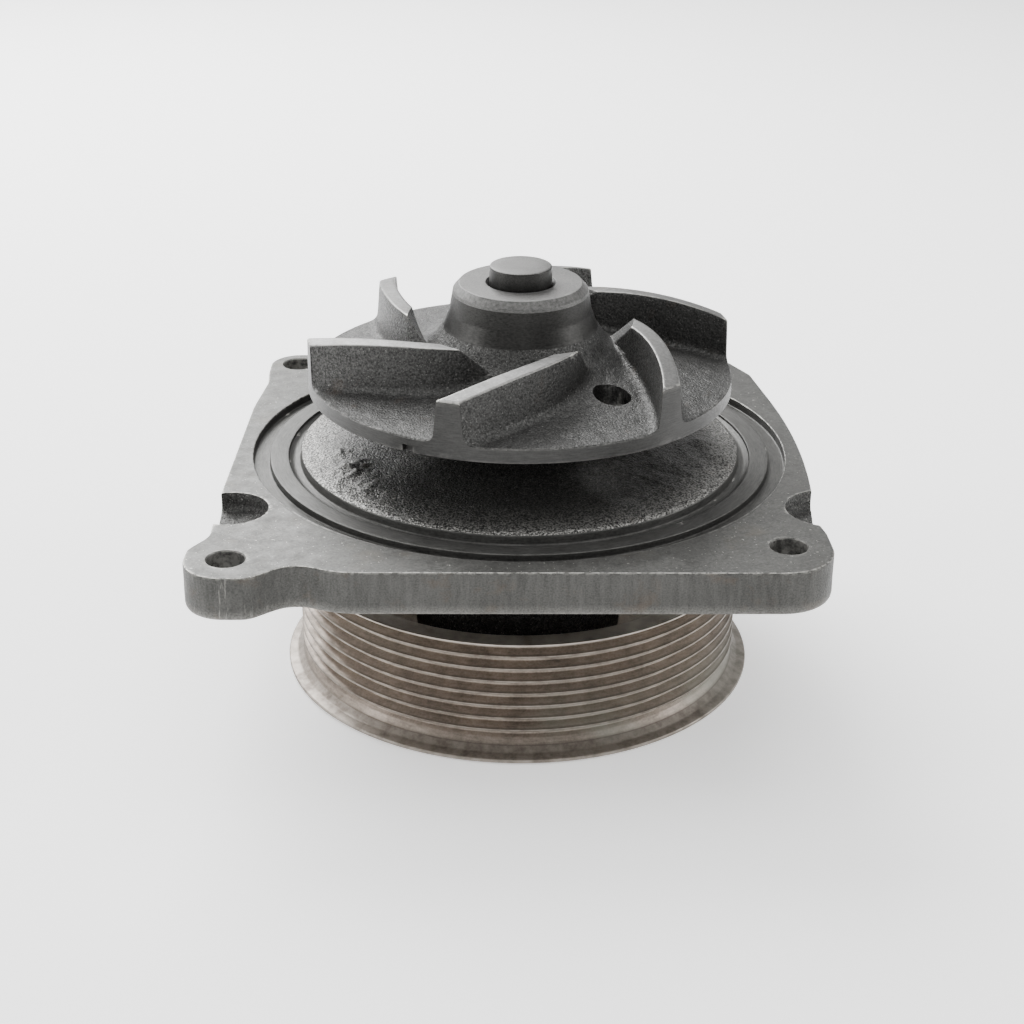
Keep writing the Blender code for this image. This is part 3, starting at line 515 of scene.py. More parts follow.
def pulleySteel(name, look):
    # belt-worn steel: blotched brown patina all over, crests darkened as painted shade with a thin worn
    # line on each, polished patches that also serve as painted sheen, painted light on the top face, and a
    # rubbed foot
    n = Nodes(name)
    radius, angle, height = n.ring()
    along = n.combine(n.math("MULTIPLY", angle, 0.012), height, radius)
    streaks = n.noise(1500.0, 3.0, 0.6, along)
    mottle = n.noise(150.0, 5.0, 0.65)
    grain = n.noise(1600.0, 2.0, 0.6)
    tone = n.math("ADD", n.math("MULTIPLY", streaks, 0.3), n.math("MULTIPLY", mottle, 0.45))
    tone = n.math("ADD", tone, n.math("MULTIPLY", grain, 0.25))
    color = n.mix(n.ramp(tone, 0.36, 0.64), look["patina"], look["patinaLight"])
    # polished patches, stronger low on the rim, which also serve as painted sheen
    polishSheenPatch = n.ramp(n.noise(24.0, 3.0, 0.6), 0.46, 0.66, smooth=True)
    lower = n.ramp(height, 0.018, 0.006)
    polishSheenPatch = n.math("MULTIPLY", polishSheenPatch, n.math("ADD", n.math("MULTIPLY", lower, 0.5), 0.1))
    color = n.mix(polishSheenPatch, color, look["polishAndSheen"])
    # the crests face the light, so they are toned down to sit with the shaded flanks
    crest = n.ramp(radius, look["crestRadius"] - 0.0008, look["crestRadius"] - 0.0002)
    color = n.mix(n.math("MULTIPLY", crest, 0.62), color, look["face"])
    line = n.ramp(n.noise(300.0, 3.0, 0.6), 0.36, 0.62, 0.0, 0.30)
    color = n.mix(n.math("MULTIPLY",
                         n.ramp(radius, look["crestRadius"] - 0.0001,
                                look["crestRadius"]), line), color, look["worn"])
    # painted light: the top face is made paler, patchy by noise, because it faces the light
    paintedTopLight = n.math("GREATER_THAN", height, look["top"] - 0.0003)
    paintedTopLight = n.math("MULTIPLY", paintedTopLight, n.ramp(n.noise(110.0, 3.0, 0.6), 0.40, 0.66, 0.25, 0.9))
    color = n.mix(paintedTopLight, color, look["worn"])
    foot = n.math("MULTIPLY", n.ramp(height, 0.0022, 0.0004), n.ramp(mottle, 0.3, 0.6, 0.3, 1.0))
    color = n.mix(n.math("MULTIPLY", foot, 0.45), color, look["worn"])
    relief = n.math("ADD", n.math("MULTIPLY", streaks, 0.8), n.math("MULTIPLY", grain, 0.5))
    normal = n.bump(relief, 0.6, 0.00005)
    return n.finish(color, 0.78, n.ramp(mottle, 0.3, 0.7, 0.52, 0.36), normal)


castSkin = castIron("castSkin", castLook)
impellerSkin = castIron(
    "impellerSkin",
    {**castLook, "dark": (0.019, 0.019, 0.018), "light": (0.090, 0.089, 0.086), "glintFlecks": 0.2,
     "depth": 0.00026},
)
# painted light: a lighter copy of the cast skin for the dome, with more glint flecks and paler grains at
# its edge; it is also laid on the bore, underside and barrel
litDomeSkin = castIron(
    "litDomeSkin",
    {**castLook, "light": (0.13, 0.128, 0.122), "glintFlecks": 0.45, "edgeLightShare": 0.5, "roughness": (0.5, 0.3)},
)
plateFace = machinedIron("plateFace", machinedLook, (0.19, -0.36))
plateSide = plateEdge("plateSide", plateEdgeLook)
grooveTurning = turnedRing("grooveTurning", grooveLook, 0.7, (0.42, 0.6))
vaneTop = machinedIron(
    "vaneTop",
    {**machinedLook, "dark": (0.085, 0.085, 0.082), "light": (0.19, 0.188, 0.183),
     "roughness": (0.36, 0.5)},
    (0.6, 0.5),
)
rimTurning = turnedRing(
    "rimTurning",
    {"dark": (0.022, 0.022, 0.021), "light": (0.060, 0.059, 0.057), "bright": (0.5, 0.49, 0.46)},
    wear=0.15,
)
# painted shade: a darker copy of the turned steel for the shaft's sides, which lie in shade; it is also
# used in the impeller's bore, on the hub's upper side, the spacer and the slinger
shadedShaftTurning = turnedRing(
    "shadedShaftTurning",
    {"dark": (0.013, 0.013, 0.012), "light": (0.042, 0.041, 0.039), "bright": (0.3, 0.29, 0.27)},
    wear=0.0,
)
# painted light: a lighter copy of the same turned steel for the shaft's flat ends and the impeller hub's
# flat top, which face the light
litEndTurning = turnedRing(
    "litEndTurning",
    {"dark": (0.060, 0.060, 0.058), "light": (0.165, 0.163, 0.158), "bright": (0.6, 0.59, 0.56)},
    roughness=(0.42, 0.6),
    wear=0.12,
)
pulleyTurning = pulleySteel("pulleyTurning", pulleyLook)
ringSteel = turnedRing(
    "ringSteel",
    {"dark": (0.34, 0.34, 0.345), "light": (0.52, 0.52, 0.53), "bright": (0.8, 0.8, 0.8)},
    1.0,
    (0.14, 0.26),
    5200.0,
)
ballSteel = plainStuff("ballSteel", (0.50, 0.50, 0.51), (0.60, 0.60, 0.61), 1.0, (0.08, 0.16),
                       1400.0, 0.000005)
cageSteel = plainStuff("cageSteel", (0.30, 0.28, 0.24), (0.44, 0.42, 0.37), 1.0, (0.28, 0.42), 1200.0)
springSteel = plainStuff("springSteel", (0.26, 0.26, 0.27), (0.42, 0.42, 0.43), 1.0, (0.25, 0.4), 1500.0)
sealBrass = turnedRing(
    "sealBrass",
    {"dark": (0.38, 0.27, 0.11), "light": (0.62, 0.47, 0.22), "bright": (0.8, 0.68, 0.42)},
    1.0,
    (0.22, 0.4),
)
sealRubber = plainStuff("sealRubber", (0.012, 0.012, 0.012), (0.030, 0.030, 0.031), 0.0, (0.5, 0.7), 1300.0)
shieldRubber = plainStuff("shieldRubber", (0.018, 0.018, 0.019), (0.04, 0.04, 0.042), 0.0,
                          (0.45, 0.6), 1500.0)
carbonStuff = plainStuff("carbonStuff", (0.014, 0.014, 0.015), (0.035, 0.035, 0.037), 0.1,
                         (0.3, 0.45), 1700.0)
ceramicStuff = plainStuff("ceramicStuff", (0.66, 0.64, 0.59), (0.78, 0.76, 0.71), 0.0, (0.2, 0.32), 1500.0)
print("materials made")


housingShape = {
    "top": 61.6,
    "bottom": 50.1,
    # corners of the plate seen from above, anticlockwise from the front left ear, with the radius of each
    "corners": (
        (-82.87, -81.6, 10.4),
        (-65.9, -81.6, 6.3),
        (-56.1, -73.4, 8.4),
        (-44.2, -78.3, 21.0),
        (76.8, -78.3, 13.6),
        (75.9, -55.9, 4.1),
        (74.5, -48.4, 6.2),
        (78.0, 4.1, 280.0),
        (69.5, 56.0, 7.7),
        (59.7, 75.3, 9.0),
        (28.5, 76.0, 95.0),
        (-32.4, 76.0, 19.0),
        (-44.0, 72.0, 11.5),
        (-73.2, 72.1, 8.6),
        (-73.4, 57.4, 5.8),
        (-72.8, 49.0, 19.4),
        (-75.2, 29.0, 59.0),
        (-77.6, -31.3, 150.0),
        (-77.5, -57.8, 8.3),
        (-82.1, -65.4, 6.3),
    ),
    "bites": ((-74.3, -41.1, 9.9), (78.7, -40.4, 11.3)),
    "biteFloor": 56.5,
    "biteSlope": 1.6,
    "boltHoles": ((-72.1, -70.8), (65.4, -63.1), (54.0, 65.4), (-65.0, 64.1)),
    "boltRadius": 4.7,
    "weep": {"radius": 1.6, "height": 48.2, "from": -38.0, "to": -16.5},
    "columns": 560,
    "grooveRadius": 72.0,
    "lumps": (  # east, north, radius and height of the rough places on the dome
        (-48.0, -11.2, 3.2, 1.1),
        (-44.3, -21.4, 4.6, 1.9),
        (-39.4, -32.3, 3.2, 1.2),
        (50.2, -3.8, 3.2, 1.3),
        (54.0, -10.9, 3.2, 1.4),
        (54.7, -17.0, 2.6, 0.9),
    ),
}


def plateOutline(shape):
    # the plate's outer line as evenly spaced points, with no point twice
    base = spacedLine(roundedLine(shape["corners"], 24), 0.3)
    keep = np.linalg.norm(base - np.roll(base, 1, axis=0), axis=1) > 1e-6
    return base[keep]


def outwardOf(line, reach):
    # directions square to a closed line, pointing out, smoothed over a few points
    ahead = np.roll(line, -reach, axis=0) - np.roll(line, reach, axis=0)
    ahead = ahead / np.linalg.norm(ahead, axis=1)[:, None]
    return np.stack([ahead[:, 1], -ahead[:, 0]], axis=-1)


def pickColumns(line, count):
    # column places along the line, closer together where it bends
    step = np.linalg.norm(np.roll(line, -1, axis=0) - line, axis=1)
    outward = outwardOf(line, 2)
    bend = np.linalg.norm(np.roll(outward, -2, axis=0) - np.roll(outward, 2, axis=0), axis=1)
    bend = (np.roll(bend, 1) + bend + np.roll(bend, -1)) / 3.0
    weight = step * (1.0 + np.minimum(bend / np.maximum(step, 1e-6) * 3.0, 3.0))
    run = np.concatenate([[0.0], np.cumsum(weight)])
    targets = np.linspace(0.0, run[-1], count, endpoint=False)
    return np.interp(targets, run, np.arange(len(run)))


def sampleRing(values, places):
    # values of a closed line at fractional places
    low = np.floor(places).astype(int) % len(values)
    high = (low + 1) % len(values)
    share = (places - np.floor(places))
    share = share.reshape(share.shape + (1,) * (values.ndim - 1))
    return values[low] * (1.0 - share) + values[high] * share


def housingSurface(shape):
    # one skin: out along the turned middle, across the plate to its outline, down its side, back in
    # underneath to the barrel, and up through the stepped bore to where it began
    top, bottom = shape["top"], shape["bottom"]
    base = plateOutline(shape)
    places = pickColumns(base, shape["columns"])
    outward = sampleRing(outwardOf(base, 4), places)
    base = sampleRing(base, places)
    angle = np.unwrap(np.arctan2(base[:, 1], base[:, 0]))

    groove = shape["grooveRadius"]
    middle = spacedLine(
        roundedLine(
            (
                (18.3, 73.0, 0.4),
                (24.0, 73.0, 0.8),
                (24.0, 69.4, 2.0),
                (30.0, 67.8, 6.0),
                (42.0, 65.2, 30.0),
                (58.0, 62.9, 2.0),
                (59.2, 62.3, 0.5),
                (59.35, 60.0, 0.5),
                (61.2, 59.7, 1.6),
                (62.4, 60.5, 0.25),
                (62.5, 61.2, 0.25),
                (67.5, 61.2, 0.25),
                (67.5, 59.2, 0.4),
                (groove, 59.2, 0.4),
                (groove, 61.45, 0.0),
                (groove + 0.2, top, 0.0),
            ),
            5,
            closed=False,
        ),
        0.8,
        closed=False,
    )
    rows = [cylinderPoints(radius, angle, height) for radius, height in middle]
    paints = [0 if radius < 59.0 else 1 for radius, height in middle]

    ring = (groove + 0.2) * np.stack([np.cos(angle), np.sin(angle)], axis=-1)
    inset = base - outward * 0.35

    def flatRow(spots, height):
        return np.concatenate([spots, np.broadcast_to(height, (len(spots),))[:, None]], axis=1)

    for share in (0.03, 0.12, 0.25, 0.4, 0.55, 0.7, 0.82, 0.92, 0.98):
        rows.append(flatRow(ring + (inset - ring) * share, top))
        paints.append(2)
    rows.append(flatRow(inset, top))
    paints.append(2)
    for back, height in ((0.1, top - 0.12), (0.0, top - 0.4)):
        rows.append(flatRow(base - outward * back, height))
        paints.append(3)
    for height in np.linspace(top - 1.2, bottom + 1.3, 12):
        rows.append(flatRow(base, height))
        paints.append(3)
    for back, height in ((0.12, bottom + 0.75), (0.45, bottom + 0.25), (1.1, bottom)):
        rows.append(flatRow(base - outward * back, height))
        paints.append(3)
    outerFoot = base - outward * 1.1
    neckRadius = 36.5
    neck = neckRadius * np.stack([np.cos(angle), np.sin(angle)], axis=-1)
    for share in (0.04, 0.12, 0.22, 0.34, 0.46, 0.58, 0.7, 0.82, 0.92):
        rows.append(flatRow(outerFoot + (neck - outerFoot) * share, bottom))
        paints.append(0)

    barrel = spacedLine(
        roundedLine(
            (
                (neckRadius + 1.5, bottom, 0.0),
                (35.0, bottom, 2.5),
                (28.5, 44.0, 4.0),
                (28.5, 9.4, 1.0),
                (23.5, 9.4, 0.4),
                (23.5, 9.8, 0.0),
                (25.0, 9.8, 0.0),
                (25.0, 11.6, 0.0),
                (23.5, 11.6, 0.0),
                (23.5, 45.3, 0.3),
                (18.0, 45.3, 0.4),
                (18.0, 53.5, 1.0),
                (13.5, 53.5, 0.4),
                (13.5, 55.5, 0.4),
                (18.3, 55.5, 0.5),
                (18.3, 72.4, 0.0),
            ),
            4,
            closed=False,
        ),
        3.0,
        closed=False,
    )
    for radius, height in barrel:
        rows.append(cylinderPoints(radius, angle, height))
        paints.append(0 if radius > 26.0 else 1)
    points = np.stack(rows)
    return points, np.array(paints)[:, None]


def roughen(points, paints, shape):
    # cast places swell and sink by noise along their own directions, and the dome carries its lumps
    across = np.roll(points, -1, axis=1) - np.roll(points, 1, axis=1)
    down = np.roll(points, -1, axis=0) - np.roll(points, 1, axis=0)
    outward = np.cross(down, across)
    outward = outward / np.maximum(np.linalg.norm(outward, axis=-1), 1e-9)[..., None]
    radius = np.hypot(points[..., 0], points[..., 1])
    height = points[..., 2]
    dome = (radius > 26.0) & (radius < 58.6) & (height > 62.0)
    fade = np.clip((58.8 - radius) / 1.2, 0.0, 1.0) * dome
    shift = fade * (0.16 * castNoise(points, 4.0, 3, 11) + 0.10 * castNoise(points, 1.3, 2, 23))
    for east, north, size, tall in shape["lumps"]:
        away = np.hypot(points[..., 0] - east, points[..., 1] - north) / size
        lump = np.exp(-away**2) * (0.5 + 0.5 * castNoise(points, 1.5, 2, 31))
        shift += fade * tall * lump
    moved = points.copy()
    moved[..., 2] += np.where(height > 60.0, shift, 0.0)
    side = np.broadcast_to(paints == 3, radius.shape) & (height < 60.8) & (height > 50.7)
    sideShift = side * (0.06 * castNoise(points, 3.0, 2, 61) - 0.06)
    flat = outward * sideShift[..., None]
    flat[..., 2] = 0.0
    inwardOnly = np.where((flat * points).sum(-1, keepdims=True) > 0.0, -flat, flat)
    moved += inwardOnly
    return moved


def biteTool(bite, shape, materials):
    # a round cutter with a rough floor that falls away outwards and meets its wall in a hollow curve
    east, north, radius = bite
    angles = np.linspace(0.0, turn, 96, endpoint=False)[None, :]
    reach = radius * np.array([0.04, 0.14, 0.26, 0.38, 0.5, 0.62, 0.73, 0.82, 0.89, 0.94, 0.98,
                               1.0])[:, None]
    floorPoints = cylinderPoints(reach, angles, shape["biteFloor"])
    outwards = (floorPoints[..., 0] * east + floorPoints[..., 1] * north) / math.hypot(east, north) / radius
    floorPoints[..., 2] -= shape["biteSlope"] * np.clip(outwards, -0.2, 1.0)
    floorPoints[..., 2] += 1.4 * np.clip((reach / radius - 0.8) / 0.2, 0.0, 1.0) ** 2
    floorPoints[..., 2] += 0.3 * castNoise(floorPoints, 1.8, 3, 47)
    heights = np.array([59.0, 60.4, shape["top"] + 1.0])[:, None]
    wall = cylinderPoints(radius, angles, heights)
    points = np.concatenate([floorPoints, wall]) + np.array([east, north, 0.0])
    return gridMesh("bite", points, False, True, 4, materials)


def weepTool(weep, materials):
    # a round rod lying along the first axis, from inside the seal chamber to outside the neck
    angles = np.linspace(0.0, turn, 24, endpoint=False)[None, :]
    reach = np.array([weep["from"], weep["to"]])[:, None]
    upright = cylinderPoints(weep["radius"], angles, reach)
    lying = upright[..., ::-1] + np.array([0.0, 0.0, weep["height"]])
    return gridMesh("weep", lying, False, True, 0, materials)


def buildHousing(shape):
    points, paints = housingSurface(shape)
    points = roughen(points, paints, shape)
    materials = (litDomeSkin, grooveTurning, plateFace, plateSide, castSkin)
    piece = gridPiece("housingCasting", points, materials, paint=paints)
    tools = [
        holeTool(east, north, shape["boltRadius"], shape["bottom"], shape["top"], 0.3, 1, materials)
        for east, north in shape["boltHoles"]
    ]
    tools += [biteTool(bite, shape, materials) for bite in shape["bites"]]
    tools.append(weepTool(shape["weep"], materials))
    cutFrom(piece, tools, 32.0)
    return placed(piece, "housing", "housing")


buildHousing(housingShape)
print("housing made")


impellerShape = {
    "radius": 56.6,
    "bottom": 80.4,
    "bore": 8.45,
    "hubRadius": 17.9,
    "profile": (  # radius, height and rounding, from the bore's edge out over hub and disc to the rim
        (8.45, 107.8, 0.0),
        (9.35, 108.7, 0.1),
        (16.3, 108.7, 0.3),
        (17.9, 106.9, 0.4),
        (18.9, 101.3, 5.0),
        (20.4, 97.2, 8.0),
        (23.7, 92.4, 10.0),
        (29.1, 88.6, 14.0),
        (40.0, 86.1, 40.0),
        (56.3, 84.5, 0.0),
    ),
    "vanes": 6,
    "tipAngle": math.radians(10.6),
    "sweep": (0.63, 0.67),
    "sweepRadius": 20.0,
    "topThickness": 4.3,
    "footThickness": 5.9,
    "outerTop": 95.5,
    "arch": (11.7, -9.6),
    "innerRadius": 30.0,
    "noseRadius": 22.0,
    "noseTop": 87.2,
    "balanceCircle": 35.4,
    "balanceAngle": math.radians(-49.1),
    "balanceRadius": 5.0,
    "notchAngle": math.radians(-120.3),
}


def vaneAngle(shape, radius):
    # the lean grows steadily at first and then with the cube of the way in
    share = (shape["radius"] - radius) / (shape["radius"] - shape["sweepRadius"])
    steady, growing = shape["sweep"]
    return shape["tipAngle"] + steady * share + growing * share**3


def vaneTopHeight(shape, radius):
    # a shallow arch from the tip to the inner corner, then a straight fall along the nose
    held = np.maximum(radius, shape["innerRadius"])
    share = (shape["radius"] - held) / (shape["radius"] - shape["sweepRadius"])
    rise, fall = shape["arch"]
    arch = shape["outerTop"] + rise * share + fall * share**2
    noseWay = (shape["innerRadius"] - radius) / (shape["innerRadius"] - shape["noseRadius"])
    noseShare = np.clip(noseWay, 0.0, 1.2)
    return arch - (arch - shape["noseTop"]) * noseShare, noseShare


def impellerSurface(shape):
    # rows go out from the bore over hub, disc and vanes to the rim, and back underneath;
    # columns follow the vanes' curve, so a vane's edges lie on grid lines
    rimRadius = shape["radius"]
    upper = spacedLine(roundedLine(shape["profile"], 9, closed=False), 0.75, closed=False)
    radius = upper[:, 0][:, None]
    baseHeight = upper[:, 1][:, None]

    # one vane's half profile: place across it, height as a share of the whole, and extra foot height
    flatHalf = shape["topThickness"] / 2.0
    footHalf = shape["footThickness"] / 2.0
    wall = np.linspace(0.0, 1.0, 10)
    across = np.concatenate([
        [0.0, 0.7, 1.4, flatHalf - 0.28, flatHalf - 0.08],
        flatHalf + (footHalf - flatHalf) * wall,
        footHalf + np.array([0.35, 0.8, 1.5, 2.4]),
    ])
    tall = np.concatenate([np.ones(5), 1.0 - wall, np.zeros(4)])
    dip = np.concatenate([np.zeros(4), [-0.10], -0.28 * (1.0 - wall), np.zeros(4)])
    rising = 1.35 * np.clip((wall - 0.6) / 0.4, 0.0, 1.0) ** 2
    fillet = np.concatenate([np.zeros(5), rising, [0.82, 0.42, 0.12, 0.0]])
    sides = np.concatenate([-across[:0:-1], across])
    tall = np.concatenate([tall[:0:-1], tall])
    dip = np.concatenate([dip[:0:-1], dip])
    fillet = np.concatenate([fillet[:0:-1], fillet])
    channelCount = 34
    sector = turn / shape["vanes"]

    clipped = np.clip(radius, shape["noseRadius"], rimRadius)
    pathAngle = vaneAngle(shape, clipped)
    lean = -(vaneAngle(shape, clipped + 0.05) - vaneAngle(shape, clipped - 0.05)) / 0.1 * clipped
    stretch = np.sqrt(1.0 + lean**2)
    vaneHeight, noseShare = vaneTopHeight(shape, radius)
    offsets = sides[None, :] * stretch / clipped * (1.0 - 0.5 * np.minimum(noseShare, 1.0))
    widest = offsets.max(axis=1, keepdims=True)
    offsets = offsets * np.minimum(1.0, 0.40 * sector / widest)
    channel = np.arange(1, channelCount + 1)[None, :] / (channelCount + 1)
    channelAngles = offsets[:, -1:] + channel * (sector + offsets[:, :1] - offsets[:, -1:])
    oneSector = np.concatenate([offsets, channelAngles], axis=1)
    angles = [pathAngle + oneSector + sector * index for index in range(shape["vanes"])]
    angles = np.concatenate(angles, axis=1)

    stands = np.maximum(vaneHeight - baseHeight, 0.0) * (radius > shape["noseRadius"] - 1.0)
    standShare = np.clip(stands / 3.0, 0.0, 1.0)
    vaneLift = stands * tall + standShare * (dip * (tall > 0.0) + fillet)
    lift = np.concatenate([vaneLift, np.zeros((len(upper), channelCount))], axis=1)
    heights = baseHeight + np.tile(lift, (1, shape["vanes"]))

    columnCount = angles.shape[1]
    isTop = np.tile(np.concatenate([tall >= 1.0, np.zeros(channelCount, bool)]), shape["vanes"])
    faceTop = isTop & np.roll(isTop, -1)
    topPaint = np.where(faceTop[None, :] & (stands > 0.6) & (radius > shape["innerRadius"] - 0.4), 1, 0)
    # the hub's upper side and the bore's edge take the darker shaded copy, the hub's flat top the lighter
    # lit copy
    topPaint = np.where(radius < 20.6, 4, topPaint)
    topPaint = np.where(radius < shape["hubRadius"] + 0.05, 3, topPaint)
    topPaint = np.where(radius < shape["bore"] + 0.7, 4, topPaint)
    points = cylinderPoints(radius, angles, heights)

    # cast skin: the channels, fillet and vane sides swell and sink, and the machined tops stay flat
    free = np.concatenate([np.clip(1.0 - tall, 0.0, 1.0), np.ones(channelCount)])
    free = np.tile(free, shape["vanes"])[None, :]
    fade = np.clip((radius - 19.3) / 1.5, 0.0, 1.0) * np.clip((rimRadius - 0.6 - radius) / 1.5, 0.0, 1.0)
    swell = 0.14 * castNoise(points, 3.4, 3, 5) + 0.09 * castNoise(points, 1.2, 2, 9)
    points[..., 2] += swell * fade * free

    # rim, underside and bore
    rows = [points]
    paints = [np.broadcast_to(topPaint, angles.shape)]
    rimHeights = points[-1, :, 2]
    rimAngles = angles[-1]
    rimFloor = shape["bottom"] + 0.25
    shares = np.array([0.0, 0.1, 0.25, 0.4, 0.55, 0.7, 0.85, 1.0])[:, None]
    rimEdge = rimHeights[None, :] - 0.3
    side = cylinderPoints(rimRadius, rimAngles[None, :], rimEdge + (rimFloor - rimEdge) * shares)
    rows.append(side)
    paints.append(np.full((len(shares), columnCount), 2))
    floor = shape["bottom"]
    under = [(reach, floor) for reach in (rimRadius - 0.3, 54.0, 48.0, 40.0, 30.0, 20.0, 12.0,
                                          shape["bore"] + 0.3)]
    under += [(shape["bore"], height) for height in (floor + 0.3, 88.0, 96.0, 102.0)]
    straight = np.linspace(0.0, turn, columnCount, endpoint=False) + rimAngles[0]
    for index, (reach, height) in enumerate(under):
        blend = min(1.0, index / 4.0)
        rowAngles = rimAngles * (1.0 - blend) + straight * blend
        rows.append(cylinderPoints(reach, rowAngles[None, :], height))
        paints.append(np.full((1, columnCount), 0 if index < 7 else 4))
    points = np.concatenate(rows)
    paints = np.concatenate(paints)
    return points, paints


def notchTool(shape, materials):
    # a small block across the rim's lower half
    along, across, low, high = 1.6, 1.5, shape["bottom"] - 1.0, shape["bottom"] + 2.0
    corners = np.array([[-along, -across], [along, -across], [along, across], [-along, across]])
    cosine, sine = math.cos(shape["notchAngle"]), math.sin(shape["notchAngle"])
    flat = corners @ np.array([[cosine, sine],
                               [-sine, cosine]]) + shape["radius"] * np.array([cosine, sine])
    points = np.stack([np.concatenate([flat, np.full((4, 1), height)], axis=1) for height in (low, high)])
    return gridMesh("notch", points, False, True, 2, materials)


def buildImpeller(shape):
    points, paints = impellerSurface(shape)
    materials = (impellerSkin, vaneTop, rimTurning, litEndTurning, shadedShaftTurning)
    piece = gridPiece("impellerCasting", points, materials, paint=paints, sharpAngle=38.0)
    tools = []
    for index in range(3):
        angle = shape["balanceAngle"] + turn * index / 3.0
        east, north = shape["balanceCircle"] * math.cos(angle), shape["balanceCircle"] * math.sin(angle)
        tools.append(holeTool(east, north, shape["balanceRadius"], shape["bottom"], 92.0, 0.25, 0,
                              materials))
    tools.append(notchTool(shape, materials))
    cutFrom(piece, tools, 38.0)
    return placed(piece, "impeller", "rotor")


buildImpeller(impellerShape)
print("impeller made")


def turnedPiece(name, node, body, corners, material, columns=128, longest=4.0, steps=4):
    # a rounded profile of (radius, height, corner radius) carried once round the shaft's axis
    profile = spacedLine(roundedLine(corners, steps), longest)
    angles = np.linspace(0.0, turn, columns, endpoint=False)[None, :]
    points = cylinderPoints(profile[:, 0][:, None], angles, profile[:, 1][:, None])
    return placed(gridPiece(name, points, (material,)), node, body)


pulleyShape = {
    "top": 32.4,
    "crest": 60.5,
    "root": 57.9,
    "pitch": 3.56,
    "ribs": 8,
    "firstCrest": 32.6,
    "crestHalf": 0.24,
    "crestRound": 0.2,
    "rootRound": 0.35,
    "flange": 64.5,
    "inner": 54.3,
    "columns": 300,
}


def buildPulley(shape):
    # the ribbed rim runs down the outside, then the flared flange, and the cup, web and hub close it
    crest, root, pitch = shape["crest"], shape["root"], shape["pitch"]
    corners = [(shape["inner"] + 0.3, shape["top"], 0.4), (crest, shape["top"], 0.3)]
    for index in range(shape["ribs"]):
        level = shape["firstCrest"] - pitch * index
        if index > 0:
            corners.append((crest, level + shape["crestHalf"], shape["crestRound"]))
        corners.append((crest, level - shape["crestHalf"], shape["crestRound"]))
        corners.append((root, level - pitch / 2.0 + 0.45, shape["rootRound"]))
        corners.append((root, level - pitch / 2.0 - 0.45, shape["rootRound"]))
    last = shape["firstCrest"] - pitch * shape["ribs"]
    corners += [
        (root + 0.9, last + 0.6, 1.0),
        (crest - 0.3, last - 0.8, 1.5),
        (crest + 1.6, last - 2.2, 2.0),
        (shape["flange"], 1.3, 0.4),
        (shape["flange"], 0.5, 0.35),
        (shape["flange"] - 0.6, 0.0, 0.3),
        (54.8, 0.0, 0.5),
        (53.8, 3.0, 1.5),
        (17.0, 3.0, 1.0),
        (16.0, 0.3, 0.4),
        (8.9, 0.3, 0.3),
        (8.9, 11.7, 0.3),
        (16.0, 11.7, 0.6),
        (16.0, 8.0, 1.5),
        (52.8, 8.0, 2.0),
        (shape["inner"], 12.0, 3.0),
    ]
    turnedPiece("pulleyRim", "pulley", "rotor", corners, pulleyTurning,
                shape["columns"], 2.5)


shaftCorners = (
    (8.3, 113.3, 0.6),
    (8.3, 56.2, 0.2),
    (10.0, 55.2, 0.3),
    (10.0, 46.8, 0.3),
    (12.2, 46.8, 0.3),
    (12.2, 45.6, 0.2),
    (10.0, 45.6, 0.2),
    (10.0, 12.0, 0.3),
    (8.6, 12.0, 0.2),
    (8.6, 0.0, 0.7),
)


def buildShaft(corners):
    # an open profile from end to end, closed by a flat disc at each end
    core = 1.2
    ends = ((core, corners[0][1]),) + corners + ((core, corners[-1][1]),)
    profile = spacedLine(roundedLine(ends, 4, closed=False), 4.0, closed=False)
    angles = np.linspace(0.0, turn, 112, endpoint=False)[None, :]
    points = cylinderPoints(profile[:, 0][:, None], angles, profile[:, 1][:, None])
    # the flat end faces take the lighter lit copy, the sides the darker shaded copy
    flat = np.abs(np.diff(profile[:, 1])) < np.abs(np.diff(profile[:, 0]))
    atEnd = (profile[:-1, 1] > 112.0) | (profile[:-1, 1] < 1.0)
    paint = (flat & atEnd).astype(int)[:, None]
    piece = gridPiece("pumpShaft", points, (shadedShaftTurning, litEndTurning), closeRows=False,
                      capEnds=True, paint=paint)
    placed(piece, "shaft", "rotor")


buildPulley(pulleyShape)
buildShaft(shaftCorners)
print("pulley and shaft made")

bearingShape = {
    "floors": {"lower": 12.0, "upper": 31.0},
    "width": 14.0,
    "ball": 3.97,
    "circle": 16.75,
    "balls": 8,
    "bore": 10.3,
    "outside": 23.2,
    "innerLip": 14.2,
    "outerLip": 19.3,
    "raceGap": 0.3,
}


def racePoints(middle, lip, bottomRadius, upwards):
    # the ball groove as an arc in the profile, from one lip to the other
    share = np.linspace(-1.0, 1.0, 13)
    heights = middle + 3.3 * share
    radii = bottomRadius + (lip - bottomRadius) * (1.0 - np.sqrt(np.maximum(1.0 - share**2 * 0.98, 0.0)))
    spots = [(float(radius), float(height), 0.0) for radius, height in zip(radii, heights)]
    return spots if upwards else spots[::-1]


ringColumns = 96


